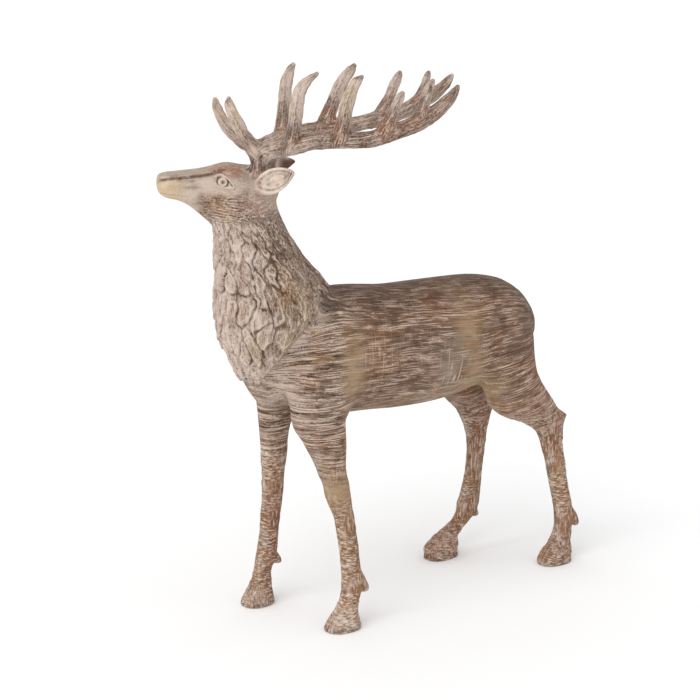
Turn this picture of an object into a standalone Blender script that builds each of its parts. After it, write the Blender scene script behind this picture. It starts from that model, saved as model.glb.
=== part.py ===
"""Standing stag figurine, cast in one piece: body, maned neck, head with ears and antlers, four legs.

The figurine faces -Y, its left side is +X and it stands on Z = 0, with its bounding box centred on the
origin. Free forms are lofts whose stations are given in thousandths of the figurine's height, UNIT.
"""

import math

import bmesh
import bpy
import numpy as np
from mathutils import Matrix, Vector

HEIGHT = 0.46
UNIT = HEIGHT / 1000.0

GROUND = -3.0
COARSE_VOXEL = 5.0 * UNIT
VOXEL = 2.5 * UNIT
MOST_TRIANGLES = 9600
RING_SIDES = 24
RINGS_PER_SPAN = 4

BASE_COLOUR = (0.42, 0.30, 0.22, 1.0)
BASE_ROUGHNESS = 0.7

# The head turns to the figurine's right, away from the way the body faces.
HEAD_TURN = math.radians(28.0)
HEAD_PIVOT = Vector((0.0, -345.0, 800.0))

# Torso rings: y, centre z, half width, half height.
TORSO = (
    (-350, 482, 14, 16),
    (-334, 484, 48, 44),
    (-302, 489, 78, 72),
    (-262, 489, 87, 91),
    (-215, 490, 93, 108),
    (-165, 488, 95, 117),
    (-110, 485, 94, 117),
    (-40, 477, 91, 116),
    (40, 475, 90, 116),
    (110, 477, 89, 112),
    (165, 482, 89, 103.5),
    (215, 485, 84, 91),
    (252, 484, 70, 72),
    (280, 480, 50, 48),
    (298, 474, 30, 30),
    (306, 471, 12, 12),
)

# Neck and mane rings, level: z, front y, back y, half width.
NECK = (
    (402, -322, -276, 14),
    (415, -332, -262, 27),
    (435, -346, -250, 40),
    (460, -359, -236, 52),
    (485, -373, -224, 62),
    (510, -386, -211, 71),
    (540, -399, -194, 79),
    (570, -405, -176, 83),
    (600, -407, -182, 83),
    (630, -405, -202, 77),
    (660, -406, -231, 70),
    (690, -405, -257, 63),
    (715, -406, -274, 57),
    (740, -412, -287, 53),
    (765, -422, -294, 49),
    (790, -418, -303, 44),
    (812, -398, -318, 30),
)

# Head sections, from nose to nape, in the head's own axes: forward, top, bottom, half width.
HEAD = (
    (160, 27, 3, 15),
    (155, 33, -5, 23),
    (143, 35, -12, 27),
    (124, 36, -16, 28),
    (105, 38, -26, 30),
    (85, 40, -43, 33),
    (68, 43, -55, 37),
    (50, 48, -57, 42),
    (34, 48, -57, 45),
    (18, 44, -53, 46),
    (0, 42, -46, 46),
    (-18, 40, -38, 43),
    (-36, 34, -26, 37),
    (-50, 22, -10, 24),
)

# Legs, from the top down: z, y, x, half width, half depth.
LEFT_FORELEG = (
    (520, -236, 58, 30, 60),
    (470, -244, 62, 36, 62),
    (425, -248, 66, 38, 58),
    (378, -248, 69, 36, 53),
    (352, -240, 71, 32, 45),
    (332, -235, 73, 29, 40),
    (309, -230, 75, 26, 33),
    (286, -226, 77, 25, 27),
    (263, -220, 80, 23, 24),
    (240, -217, 82, 21, 24),
    (217, -211, 85, 19, 21),
    (194, -206, 87, 17, 20),
    (150, -202, 92, 16, 19),
    (104, -199, 97, 17, 19),
    (80, -199, 100, 18, 20),
    (60, -203, 102, 17, 18),
)
RIGHT_FORELEG = (
    (520, -240, -54, 30, 52),
    (470, -246, -56, 36, 50),
    (425, -248, -58, 37, 43),
    (385, -253, -60, 33, 36),
    (348, -254, -62, 27, 31),
    (326, -255, -63, 25, 28),
    (302, -254, -65, 24, 26),
    (278, -254, -67, 23, 25),
    (254, -253, -70, 21, 22),
    (230, -253, -72, 20, 21),
    (206, -252, -74, 18, 20),
    (182, -253, -77, 17, 20),
    (135, -255, -82, 16, 19),
    (105, -257, -85, 17, 20),
    (84, -260, -87, 17, 20),
    (64, -265, -89, 16, 17),
)
LEFT_HIND_LEG = (
    (520, 190, 42, 30, 66),
    (470, 193, 50, 38, 77),
    (420, 195, 57, 42, 73),
    (380, 212, 61, 40, 67),
    (345, 230, 64, 34, 75),
    (325, 247, 65, 31, 73),
    (310, 264, 66, 28, 66),
    (295, 295, 67, 26, 56),
    (276, 305, 68, 22, 35),
    (258, 311, 69, 20, 28),
    (236, 314, 70, 18, 24),
    (209, 321, 71, 17, 22),
    (167, 329, 73, 16, 20),
    (124, 340, 74, 16, 20),
    (100, 344, 75, 17, 20),
    (80, 345, 76, 17, 20),
    (60, 342, 77, 16, 18),
)
RIGHT_HIND_LEG = (
    (520, 190, -42, 30, 66),
    (470, 190, -50, 38, 76),
    (420, 190, -57, 42, 74),
    (380, 195, -62, 40, 67),
    (345, 205, -66, 34, 63),
    (318, 221, -69, 29, 54),
    (295, 235, -70, 26, 42),
    (272, 239, -72, 23, 32),
    (250, 241, -73, 19, 25),
    (229, 243, -74, 17, 22),
    (208, 243, -75, 16, 20),
    (165, 240, -77, 15, 19),
    (123, 234, -78, 16, 22),
    (100, 229, -79, 17, 25),
    (80, 225, -80, 17, 24),
    (62, 207, -80, 16, 20),
)

# Hooves: leg, middle of the sole (x, y), turn about Z in degrees, length and width of the sole, fullness
# of the pastern, how early it leans to the sole, reach of the dewclaws behind the leg and their tips' height.
HOOVES = (
    (LEFT_FORELEG, 109, -227, -4, 69, 54, 1.0, 1.0, 32, 60),
    (RIGHT_FORELEG, -88, -278, 4, 66, 52, 1.05, 1.0, 35, 71),
    (LEFT_HIND_LEG, 80, 319, -4, 74, 52, 1.18, 1.0, 33, 67),
    (RIGHT_HIND_LEG, -80, 160, 4, 75, 54, 1.42, 1.9, 42, 70),
)

# Antler beams in the head's axes: forward, out to the side, up, radius.
LEFT_BEAM = (
    (-13, 20, 20, 16),
    (-14, 26, 40, 15),
    (-16, 32, 58, 15.5),
    (-26, 40, 69, 15.5),
    (-45, 50, 76, 15),
    (-67, 62, 81, 15),
    (-96, 74, 90, 15),
    (-128, 84, 93, 15),
    (-171, 92, 94, 14),
    (-205, 95, 97, 14.5),
    (-248, 93, 110, 14.5),
    (-275, 88, 119, 14.5),
    (-302, 80, 132, 14),
    (-323, 74, 146, 12.5),
    (-338, 70, 160, 10),
    (-347, 67, 172, 7),
    (-352, 66, 181, 3),
)
RIGHT_BEAM = (
    (-24, -20, 18, 13),
    (-22, -26, 38, 13.5),
    (-18, -32, 53, 15.5),
    (-28, -40, 66, 15.5),
    (-49, -50, 74, 15.5),
    (-75, -62, 80, 15),
    (-107, -74, 87, 14.5),
    (-153, -84, 92, 14),
    (-195, -90, 96, 13),
    (-235, -93, 103, 14),
    (-280, -92, 114, 13),
    (-306, -88, 129, 13.5),
    (-335, -80, 146, 12.5),
    (-354, -74, 162, 9.5),
    (-365, -70, 176, 6.5),
    (-370, -69, 185, 2.5),
)

# Tines in the head's axes, root to tip: forward, left, up, radius.
LEFT_TINES = (
    (
        (-20, 31, 58, 15), (-7, 34, 72, 15), (12, 40, 97, 12.5),
        (27, 42, 127, 10.5), (36, 38, 150, 8.2), (37, 35, 165, 3),
    ),
    (
        (-62, 60, 74, 16), (-66, 64, 90, 15.5), (-70, 73, 115, 13.5),
        (-73, 78, 153, 12), (-84, 74, 184, 10), (-112, 66, 206, 3.5),
    ),
    (
        (-141, 88, 90, 17), (-146, 94, 110, 14.5), (-150, 99, 130, 12.6),
        (-155, 100, 157, 12), (-170, 90, 188, 9), (-185, 84, 201, 3.5),
    ),
    (
        (-217, 94, 102, 16), (-226, 98, 124, 12), (-233, 104, 143, 10.5),
        (-243, 106, 165, 8), (-250, 106, 176, 3),
    ),
    (
        (-281, 84, 120, 15), (-286, 86, 142, 11), (-291, 86, 160, 10),
        (-298, 82, 178, 8.5), (-306, 80, 193, 3),
    ),
)
RIGHT_TINES = (
    (
        (-28, -32, 62, 13), (-14, -35, 68, 13), (4, -38, 76, 13),
        (18, -42, 87, 12), (33, -44, 103, 11), (44, -44, 123, 9.4),
        (51, -42, 141, 7.6), (54, -40, 155, 3),
    ),
    (
        (-62, -60, 74, 16), (-67, -70, 98, 13), (-71, -79, 132, 12),
        (-75, -80, 168, 11), (-81, -76, 192, 9), (-89, -72, 208, 3.5),
    ),
    (
        (-140, -84, 88, 16), (-153, -92, 118, 13.3), (-161, -96, 136, 12.6),
        (-169, -98, 155, 12), (-180, -96, 175, 10.8), (-191, -90, 191, 8.8),
        (-199, -86, 203, 3.5),
    ),
    (
        (-236, -93, 98, 14), (-251, -100, 122, 11.2), (-262, -104, 138, 10.2),
        (-270, -106, 158, 9.6), (-279, -104, 178, 7.8), (-283, -102, 188, 3),
    ),
    (
        (-300, -90, 118, 12), (-313, -90, 141, 9), (-321, -90, 158, 8),
        (-327, -88, 176, 7), (-331, -86, 190, 3),
    ),
)

# Ears in the head's axes: forward, out to the side, up; half width and half thickness.
LEFT_EAR = (
    (2, 36, 4, 9, 8),
    (-8, 47, 11, 14, 8),
    (-20, 60, 18, 20, 7.5),
    (-34, 73, 25, 21.5, 7),
    (-47, 84, 32, 18, 6),
    (-57, 91, 38, 12, 4.5),
    (-66, 96, 42, 4, 2),
)
RIGHT_EAR = (
    (-6, 36, 6, 10, 8),
    (-18, 48, 12, 14, 8),
    (-33, 60, 19, 19, 7.5),
    (-50, 72, 26, 20, 7),
    (-66, 83, 29, 15, 6),
    (-79, 90, 31, 11, 4.5),
    (-92, 96, 32, 3, 2),
)

# Shoulders and haunches: centre, radii and lean about X in degrees.
MUSCLES = (
    ((58, -230, 458), (40, 68, 104), 8),
    ((-56, -232, 458), (40, 62, 104), 8),
    ((50, 189, 464), (46, 74, 98), -8),
    ((-50, 184, 464), (46, 74, 98), -8),
    ((44, -222, 530), (46, 74, 74), 0),
    ((-42, -222, 526), (46, 74, 72), 0),
)

# Tail, pressed to the rump: x, y, z, radius.
TAIL = (
    (0, 258, 530, 14),
    (0, 282, 519, 14),
    (0, 297, 496, 13),
    (0, 304, 470, 11),
    (0, 306, 452, 8),
    (0, 305, 441, 4),
)

# Mane: edge on the neck's sides as height against y, its top, and the slab-like locks that cover it: columns
# and rows of them, height of a row, width of the groove round a lock, rise, and how far the nape is eased.
MANE_EDGE = ((-352, 455), (-338, 495), (-316, 528), (-290, 556), (-262, 580), (-240, 625), (-185, 650))
MANE_TOP = 762
LOCK_COLUMNS = 26
LOCK_ROWS = 7
LOCK_DROP = 52
LOCK_GROOVE = 0.2
LOCK_RISE = 6.5
NAPE_EASE = 0.72


def spline(rows, spans):
    """Rows of numbers joined by a smooth curve through them, with spans new rows for each old one."""
    points = np.array(rows, float)
    ends = np.vstack([2 * points[0] - points[1], points, 2 * points[-1] - points[-2]])
    out = []
    for i in range(1, len(points)):
        a, b, c, d = ends[i - 1], ends[i], ends[i + 1], ends[i + 2]
        for t in np.linspace(0, 1, spans, endpoint=False):
            out.append(
                0.5
                * (
                    2 * b
                    + (c - a) * t
                    + (2 * a - 5 * b + 4 * c - d) * t**2
                    + (3 * b - a - 3 * c + d) * t**3
                )
            )
    out.append(points[-1])
    return np.array(out)


def ring(centre, side, rise, half_side, half_rise, power=2.0, sides=RING_SIDES):
    """A closed outline round centre: an ellipse at power 2, squarer above that."""
    points = []
    for k in range(sides):
        angle = 2 * math.pi * k / sides
        c, s = math.cos(angle), math.sin(angle)
        along_side = math.copysign(abs(c) ** (2 / power), c) * half_side
        along_rise = math.copysign(abs(s) ** (2 / power), s) * half_rise
        points.append(centre + side * along_side + rise * along_rise)
    return points


def skin(mesh, rings):
    """Bridges rings of equal count into one closed body with capped ends."""
    loops = [[mesh.verts.new(point) for point in points] for points in rings]
    count = len(loops[0])
    for low, high in zip(loops, loops[1:]):
        for k in range(count):
            n = (k + 1) % count
            mesh.faces.new((low[k], low[n], high[n], high[k]))
    mesh.faces.new(list(reversed(loops[0])))
    mesh.faces.new(loops[-1])


def tube(mesh, rows, place=None):
    """A round limb through rows of x, y, z, radius. place maps the rows' axes to the figurine's."""
    curve = spline(rows, RINGS_PER_SPAN)
    points = [Vector(row[:3]) for row in curve]
    if place:
        points = [place @ point for point in points]
    rings = []
    side = None
    for i, point in enumerate(points):
        ahead = points[min(i + 1, len(points) - 1)]
        behind = points[max(i - 1, 0)]
        along = (ahead - behind).normalized()
        guide = side if side else Vector((1, 0, 0)).cross(along)
        side = (guide - along * guide.dot(along)).normalized()
        rings.append(ring(point, side, along.cross(side), curve[i][3], curve[i][3], sides=14))
    skin(mesh, rings)


def head_axes():
    """The head's axes as a matrix: forward, left and up, with the head's pivot as origin."""
    forward = Vector((-math.sin(HEAD_TURN), -math.cos(HEAD_TURN), 0))
    left = Vector((math.cos(HEAD_TURN), -math.sin(HEAD_TURN), 0))
    axes = Matrix((forward, left, Vector((0, 0, 1)))).transposed().to_4x4()
    return Matrix.Translation(HEAD_PIVOT) @ axes


def torso(mesh):
    rings = []
    for y, z, half_width, half_height in spline(TORSO, RINGS_PER_SPAN):
        centre = Vector((0, y, z))
        rings.append(
            ring(centre, Vector((1, 0, 0)), Vector((0, 0, 1)), half_width, half_height, 2.3, 32)
        )
    skin(mesh, rings)


def neck(mesh):
    rings = []
    for z, front, back, half_width in spline(NECK, RINGS_PER_SPAN):
        centre = Vector((0, (front + back) / 2, z))
        rings.append(
            ring(centre, Vector((1, 0, 0)), Vector((0, 1, 0)), half_width, (back - front) / 2, 2.0, 32)
        )
    skin(mesh, rings)


def head(mesh, place):
    rings = []
    for forward, top, bottom, half_width in spline(HEAD, RINGS_PER_SPAN):
        centre = Vector((forward, 0, (top + bottom) / 2))
        outline = ring(centre, Vector((0, 1, 0)), Vector((0, 0, 1)), half_width, (top - bottom) / 2, 2.6)
        rings.append([place @ point for point in outline])
    skin(mesh, rings)


def ear(mesh, rows, place, hand):
    """A leaf-shaped ear that points out and back, its open side to the front and outside."""
    rings = []
    curve = spline(rows, RINGS_PER_SPAN)
    out = (place.to_3x3() @ Vector((-0.55, hand * 0.8, 0.35))).normalized()
    facing = (place.to_3x3() @ Vector((0.55, hand * 0.62, 0.1))).normalized()
    width = out.cross(facing).normalized()
    for forward, side, rise, half_width, half_thick in curve:
        centre = place @ Vector((forward, hand * side, rise))
        rings.append(ring(centre, width, facing, half_width, half_thick, sides=16))
    skin(mesh, rings)


def leg(mesh, rows):
    rings = []
    for z, y, x, half_width, half_depth in spline(rows, RINGS_PER_SPAN):
        rings.append(
            ring(Vector((x, y, z)), Vector((1, 0, 0)), Vector((0, 1, 0)), half_width, half_depth)
        )
    skin(mesh, rings)


def hoof(mesh, rows, x, y, turn, length, width, full, lean, spur, spur_height):
    """Pastern and hoof, from the last station of the leg down past the ground, where the sole is cut."""
    z0, y0, x0, half_width, half_depth = rows[-1]

    def on_leg(rise):
        heights = [-row[0] for row in rows]
        return [float(np.interp(-z0 - rise, heights, [row[k] for row in rows])) for k in (2, 1)]

    def between(share):
        share = min(share * lean, 1.0)
        return x0 + (x - x0) * share, y0 + (y - y0) * share

    stations = (
        (z0 + 22, *on_leg(22), half_width, half_depth),
        (z0, x0, y0, half_width, half_depth),
        (z0 * 0.62, *between(0.4), width * 0.34, length * 0.28 * full),
        (z0 * 0.34, *between(0.75), width * 0.43, length * 0.385 * full),
        (6, x, y, width * 0.5, length * 0.485),
        (0, x, y, width * 0.5, length * 0.5),
        (-8, x, y, width * 0.46, length * 0.46),
    )
    heading = Matrix.Rotation(math.radians(turn), 3, "Z")
    rings = []
    for z, cx, cy, half_x, half_y in spline(stations, RINGS_PER_SPAN):
        centre = Vector((cx, cy, z))
        rings.append(ring(centre, heading.col[0], heading.col[1], half_x, half_y, 2.3))
    skin(mesh, rings)
    root_x, root_y = on_leg(60)
    for hand in (-1, 1):
        tube(
            mesh,
            (
                (root_x + hand * 3, root_y + 2, z0 + 60, 8),
                (x0 + hand * 6, y0 + spur * 0.34, spur_height + 30, 11),
                (x0 + hand * 7, y0 + spur * 0.62, spur_height + 12, 10.5),
                (x0 + hand * 8, y0 + spur * 0.86, spur_height + 4, 7.5),
                (x0 + hand * 8, y0 + spur, spur_height, 3),
            ),
        )


def antler(mesh, beam, tines, place):
    tube(mesh, beam, place)
    for tine in tines:
        tube(mesh, tine, place)


def muscle(mesh, centre, radii, lean):
    """A rounded mass, leaned about X by degrees: a shoulder or a haunch."""
    turn = Matrix.Rotation(math.radians(lean), 4, "X")
    shape = Matrix.Translation(centre) @ turn @ Matrix.Diagonal((*radii, 1))
    bmesh.ops.create_icosphere(mesh, subdivisions=3, radius=1, matrix=shape)


def masses():
    """The large forms that flow into each other: torso, neck, head, shoulders, haunches and legs."""
    mesh = bmesh.new()
    torso(mesh)
    neck(mesh)
    head(mesh, head_axes())
    for rows, *hoof_sizes in HOOVES:
        leg(mesh, rows)
    for centre, radii, lean in MUSCLES:
        muscle(mesh, Vector(centre), radii, lean)
    bmesh.ops.scale(mesh, vec=(UNIT,) * 3, verts=mesh.verts)
    return mesh


def slender_forms(mesh):
    """Adds the forms that keep their own thickness: lower legs, hooves, tail, ears, eyes and antlers."""
    place = head_axes()
    first = len(mesh.verts)
    ear(mesh, LEFT_EAR, place, 1)
    ear(mesh, RIGHT_EAR, place, -1)
    antler(mesh, LEFT_BEAM, LEFT_TINES, place)
    antler(mesh, RIGHT_BEAM, RIGHT_TINES, place)
    for rows, *hoof_sizes in HOOVES:
        leg(mesh, [row for row in rows if row[0] < 300])
        hoof(mesh, rows, *hoof_sizes)
    tube(mesh, TAIL)
    for hand in (-1, 1):
        muscle(mesh, place @ Vector((50, hand * 37, 20)), (9, 9, 9), 0)
    mesh.verts.ensure_lookup_table()
    bmesh.ops.scale(mesh, vec=(UNIT,) * 3, verts=mesh.verts[first:])


def fused(name, mesh, voxel, iterations):
    """Overlapping bodies of mesh made one, with the joins smoothed, as mesh data."""
    bmesh.ops.recalc_face_normals(mesh, faces=mesh.faces)
    rough = new_object(name, mesh)
    fuse = rough.modifiers.new("fuse", "REMESH")
    fuse.mode = "VOXEL"
    fuse.voxel_size = voxel
    blend = rough.modifiers.new("blend", "SMOOTH")
    blend.factor = 0.5
    blend.iterations = iterations
    data = evaluated(rough)
    bpy.data.objects.remove(rough)
    return data


def varied(row, column, spread):
    """A fixed number within spread either side of zero, different for each lock."""
    wave = math.sin(row * 12.9898 + column * 78.233) * 43758.5453
    return (2 * (wave - math.floor(wave)) - 1) * spread


def neck_place(points):
    """Turn round the neck from its front, reach (1 on the smooth neck) and the neck's girth at each point."""
    level, front, back, half_width = spline(NECK, RINGS_PER_SPAN).T
    x, y, z = points.T
    centre = np.interp(z, level, (front + back) / 2)
    depth = np.interp(z, level, (back - front) / 2)
    width = np.interp(z, level, half_width)
    turn = np.arctan2(x / width, (centre - y) / depth)
    reach = np.hypot(x / width, (centre - y) / depth)
    return turn, reach, (width + depth) / 2


def lock_middle(row, column):
    """Where a lock lies: its turn round the neck, its height, and how far it is above the mane's edge."""
    aim = 2 * math.pi * (column + 0.5 * (row % 2) + varied(row, column + 50, 0.34)) / LOCK_COLUMNS
    z = MANE_TOP - LOCK_DROP * (row + 0.3 + varied(row, column, 0.4))
    level, front, back, half_width = spline(NECK, RINGS_PER_SPAN).T
    y = np.interp(z, level, (front + back) / 2) - math.cos(aim) * np.interp(z, level, (back - front) / 2)
    edge_y, edge_z = np.array(MANE_EDGE).T
    return aim, z, z - np.interp(y, edge_y, edge_z)


def mane_relief(points):
    """Height of the mane's locks above the smooth neck for each of the points, as an array.

    A lock is the cell of points nearest to its middle. It rises to its lower end, with a groove all round.
    """
    turn, reach, girth = neck_place(points)
    z = points[:, 2]
    index = np.nonzero((reach > 0.8) & (reach < 1.35) & (z > 430) & (z < MANE_TOP + 20))[0]
    turn, reach, z = turn[index], reach[index], z[index]
    bent = turn + 0.045 * np.sin(z / 19 + 5 * turn) + 0.02 * np.sin(z / 8 + 11 * turn)
    level = z + 7 * np.sin(6 * turn + z / 29)
    nearest = np.full(len(index), 9.0)
    second = nearest.copy()
    rise = np.zeros(len(index))
    for row in range(LOCK_ROWS):
        for column in range(LOCK_COLUMNS):
            aim, middle, above_edge = lock_middle(row, column)
            aside = ((bent - aim + math.pi) % (2 * math.pi) - math.pi) * LOCK_COLUMNS / (2 * math.pi)
            down = (middle - level) / LOCK_DROP
            aside = (aside + varied(column, row, 0.35) * down) * (1 + 0.55 * np.clip(down, -0.8, 0.8))
            distance = (np.abs(aside) ** 1.5 + np.abs(down) ** 1.5) ** (2 / 3)
            closer = distance < nearest
            second = np.where(closer, nearest, np.minimum(second, distance))
            nearest = np.where(closer, distance, nearest)
            lock = np.clip(0.5 + 0.75 * down, 0.1, 1) + varied(column + 3, row, 0.22)
            rise = np.where(closer, lock * (above_edge > 0), rise)
    apart = (second - nearest) / LOCK_GROOVE
    walls = np.clip(apart, 0, 1)
    rim = 0.2 * np.exp(-(((apart - 1.5) / 0.6) ** 2)) * (rise > 0)
    fade = np.clip((MANE_TOP - z) / 40, 0, 1) * np.clip((1.35 - reach) / 0.15, 0, 1)
    ease = NAPE_EASE * np.clip((np.abs(turn) - 1.15 - 0.0016 * (z - 560)) / 0.6, 0, 1)
    shape = rise * walls * walls * (3 - 2 * walls) + rim
    shape = shape * (1 - ease) + 0.55 * ease * (rise > 0)
    height = np.zeros(len(points))
    height[index] = shape * fade * (0.8 + 0.2 * np.cos(turn))
    return height * LOCK_RISE


def clear_scene():
    for obj in list(bpy.data.objects):
        bpy.data.objects.remove(obj)


def new_object(name, mesh):
    data = bpy.data.meshes.new(name)
    mesh.to_mesh(data)
    mesh.free()
    obj = bpy.data.objects.new(name, data)
    bpy.context.scene.collection.objects.link(obj)
    return obj


def resin():
    material = bpy.data.materials.new("whitewashed_resin")
    material.use_nodes = True
    shader = material.node_tree.nodes["Principled BSDF"]
    shader.inputs["Base Color"].default_value = BASE_COLOUR
    shader.inputs["Roughness"].default_value = BASE_ROUGHNESS
    shader.inputs["Metallic"].default_value = 0.0
    return material


def evaluated(obj):
    """The object's mesh with its modifiers worked out."""
    bpy.context.view_layer.update()
    graph = bpy.context.evaluated_depsgraph_get()
    return bpy.data.meshes.new_from_object(obj.evaluated_get(graph))


def carve_mane(data):
    """Raises the mane's locks along the surface's normals."""
    count = len(data.vertices)
    points = np.empty(count * 3, np.float32)
    normals = np.empty(count * 3, np.float32)
    data.vertices.foreach_get("co", points)
    data.vertices.foreach_get("normal", normals)
    points = points.reshape(-1, 3).astype(float)
    rise = mane_relief(points / UNIT) * UNIT
    points += normals.reshape(-1, 3) * rise[:, None]
    data.vertices.foreach_set("co", points.astype(np.float32).ravel())
    data.update()


def centre_over_origin(data):
    points = np.empty(len(data.vertices) * 3, np.float32)
    data.vertices.foreach_get("co", points)
    points = points.reshape(-1, 3)
    points = points[points[:, 2] > GROUND * UNIT]
    middle = (points.min(0) + points.max(0)) / 2
    shift = (float(middle[0]), float(middle[1]), GROUND * UNIT)
    data.transform(Matrix.Translation([-value for value in shift]))
    return shift


def ground_cutter():
    """A block below the ground that trims the four soles flat."""
    mesh = bmesh.new()
    shape = Matrix.Translation((0, 0, -0.05)) @ Matrix.Diagonal((0.6, 0.9, 0.1, 1))
    bmesh.ops.create_cube(mesh, size=1.0, matrix=shape)
    cutter = new_object("ground_cutter", mesh)
    cutter.display_type = "WIRE"
    cutter.hide_render = True
    return cutter


def main():
    clear_scene()
    mesh = bmesh.new()
    mesh.from_mesh(fused("masses", masses(), COARSE_VOXEL, 12))
    slender_forms(mesh)
    data = fused("stag_forms", mesh, VOXEL, 5)
    carve_mane(data)
    shift = centre_over_origin(data)
    data.name = "deer"
    data.materials.clear()
    data.materials.append(resin())
    deer = bpy.data.objects.new("deer", data)
    deer["shift"] = shift
    bpy.context.scene.collection.objects.link(deer)
    soften = deer.modifiers.new("soft_edges", "SMOOTH")
    soften.factor = 0.5
    soften.iterations = 1
    thin = deer.modifiers.new("fewer_faces", "DECIMATE")
    thin.ratio = MOST_TRIANGLES / sum(len(face.vertices) - 2 for face in data.polygons)
    trim = deer.modifiers.new("flat_soles", "BOOLEAN")
    trim.operation = "DIFFERENCE"
    trim.solver = "EXACT"
    trim.object = ground_cutter()


main()
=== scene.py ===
"""Looks of the stag figurine: a finely carved skin on the solid's form, its paint, light and camera."""

import math

import bmesh
import bpy
import numpy as np
from mathutils import Matrix, Vector


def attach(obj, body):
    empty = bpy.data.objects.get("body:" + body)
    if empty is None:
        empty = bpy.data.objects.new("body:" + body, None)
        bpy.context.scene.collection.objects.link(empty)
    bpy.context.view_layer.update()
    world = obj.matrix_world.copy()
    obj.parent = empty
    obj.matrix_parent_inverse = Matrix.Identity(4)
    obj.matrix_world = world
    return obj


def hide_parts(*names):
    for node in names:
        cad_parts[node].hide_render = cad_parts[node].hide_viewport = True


# The figurine is drawn in thousandths of its height. SHIFT is how far the solid was moved, in metres, to
# stand centred on the origin.
HEIGHT = 0.46
UNIT = HEIGHT / 1000.0
SHIFT = (0.026683203876018524, -0.026589155197143555, -0.00138)

# Camera in design units, before that move. Its lens follows from a focal length and the picture's width.
CAMERA = Vector((2831.79, -2261.78, 1365.41))
VIEW_AZIMUTH = math.radians(53.0)
VIEW_ELEVATION = math.radians(14.0)
SENSOR = 36.0
FOCAL_PIXELS = 2000.0
PICTURE_PIXELS = 700.0

FLOOR_SIZE = 30.0
FLOOR_GREY = 0.96
SKY_STRENGTH = 0.85
SUN_STRENGTH = 1.2
SUN_SPREAD = math.radians(50.0)
SUN_AZIMUTH = math.radians(18.0)
SUN_HEIGHT = math.radians(42.0)

COARSE_VOXEL = 5.0 * UNIT
FINE_VOXEL = 1.55 * UNIT
MASS_SMOOTHING = 12
SMOOTHING = 10
ROOT_EASING = 40
RELIEF_ROUNDS = ((10, 36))
MOST_SKIN_TRIANGLES = 196000

GROUND = -3.0
RING_SIDES = 24
BODY_SIDES = 32
EAR_SIDES = 16
TUBE_SIDES = 14
RINGS_PER_SPAN = 4
LOWER_LEG_TOP = 300
FAR_AWAY = 1e9
SCATTER = 43758.5453

# The head turns to the figurine's right, away from the way the body faces.
HEAD_TURN = math.radians(28.0)
HEAD_PIVOT = Vector((0.0, -345.0, 800.0))
FORWARD = np.array((-math.sin(HEAD_TURN), -math.cos(HEAD_TURN), 0.0))
LEFT = np.array((math.cos(HEAD_TURN), -math.sin(HEAD_TURN), 0.0))

# Eyeball in the head's axes, and how far under the top of the head its flat bridge ends.
EYE_FORWARD, EYE_SIDE, EYE_UP, EYE_RADIUS = 50, 37, 20, 9
BRIDGE_EDGE = 11

# Torso rings: y, centre z, half width, half height.
TORSO = (
    (-350, 482, 14, 16),
    (-334, 484, 48, 44),
    (-302, 489, 78, 72),
    (-262, 489, 87, 91),
    (-215, 490, 93, 108),
    (-165, 488, 95, 117),
    (-110, 485, 94, 117),
    (-40, 477, 91, 116),
    (40, 475, 90, 116),
    (110, 477, 89, 112),
    (165, 482, 89, 103.5),
    (215, 485, 84, 91),
    (252, 484, 70, 72),
    (280, 480, 50, 48),
    (298, 474, 30, 30),
    (306, 471, 12, 12),
)

# Neck and mane rings, level: z, front y, back y, half width.
NECK = (
    (402, -322, -276, 14),
    (415, -332, -262, 27),
    (435, -346, -250, 40),
    (460, -359, -236, 52),
    (485, -373, -224, 62),
    (510, -386, -211, 71),
    (540, -399, -194, 79),
    (570, -405, -176, 83),
    (600, -407, -182, 83),
    (630, -405, -202, 77),
    (660, -406, -231, 70),
    (690, -405, -257, 63),
    (715, -406, -274, 57),
    (740, -412, -287, 53),
    (765, -422, -294, 49),
    (790, -418, -303, 44),
    (812, -398, -318, 30),
)

# Head sections, from nose to nape, in the head's own axes: forward, top, bottom, half width.
HEAD = (
    (160, 27, 3, 15),
    (155, 33, -5, 23),
    (143, 35, -12, 27),
    (124, 36, -16, 28),
    (105, 38, -26, 30),
    (85, 40, -43, 33),
    (68, 43, -55, 37),
    (50, 48, -57, 42),
    (34, 48, -57, 45),
    (18, 44, -53, 46),
    (0, 42, -46, 46),
    (-18, 40, -38, 43),
    (-36, 34, -26, 37),
    (-50, 22, -10, 24),
)

# Legs, from the top down: z, y, x, half width, half depth.
LEFT_FORELEG = (
    (520, -236, 58, 30, 60),
    (470, -244, 62, 36, 62),
    (425, -248, 66, 38, 58),
    (378, -248, 69, 36, 53),
    (352, -240, 71, 32, 45),
    (332, -235, 73, 29, 40),
    (309, -230, 75, 26, 33),
    (286, -226, 77, 25, 27),
    (263, -220, 80, 23, 24),
    (240, -217, 82, 21, 24),
    (217, -211, 85, 19, 21),
    (194, -206, 87, 17, 20),
    (150, -202, 92, 16, 19),
    (104, -199, 97, 17, 19),
    (80, -199, 100, 18, 20),
    (60, -203, 102, 17, 18),
)
RIGHT_FORELEG = (
    (520, -240, -54, 30, 52),
    (470, -246, -56, 36, 50),
    (425, -248, -58, 37, 43),
    (385, -253, -60, 33, 36),
    (348, -254, -62, 27, 31),
    (326, -255, -63, 25, 28),
    (302, -254, -65, 24, 26),
    (278, -254, -67, 23, 25),
    (254, -253, -70, 21, 22),
    (230, -253, -72, 20, 21),
    (206, -252, -74, 18, 20),
    (182, -253, -77, 17, 20),
    (135, -255, -82, 16, 19),
    (105, -257, -85, 17, 20),
    (84, -260, -87, 17, 20),
    (64, -265, -89, 16, 17),
)
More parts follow.
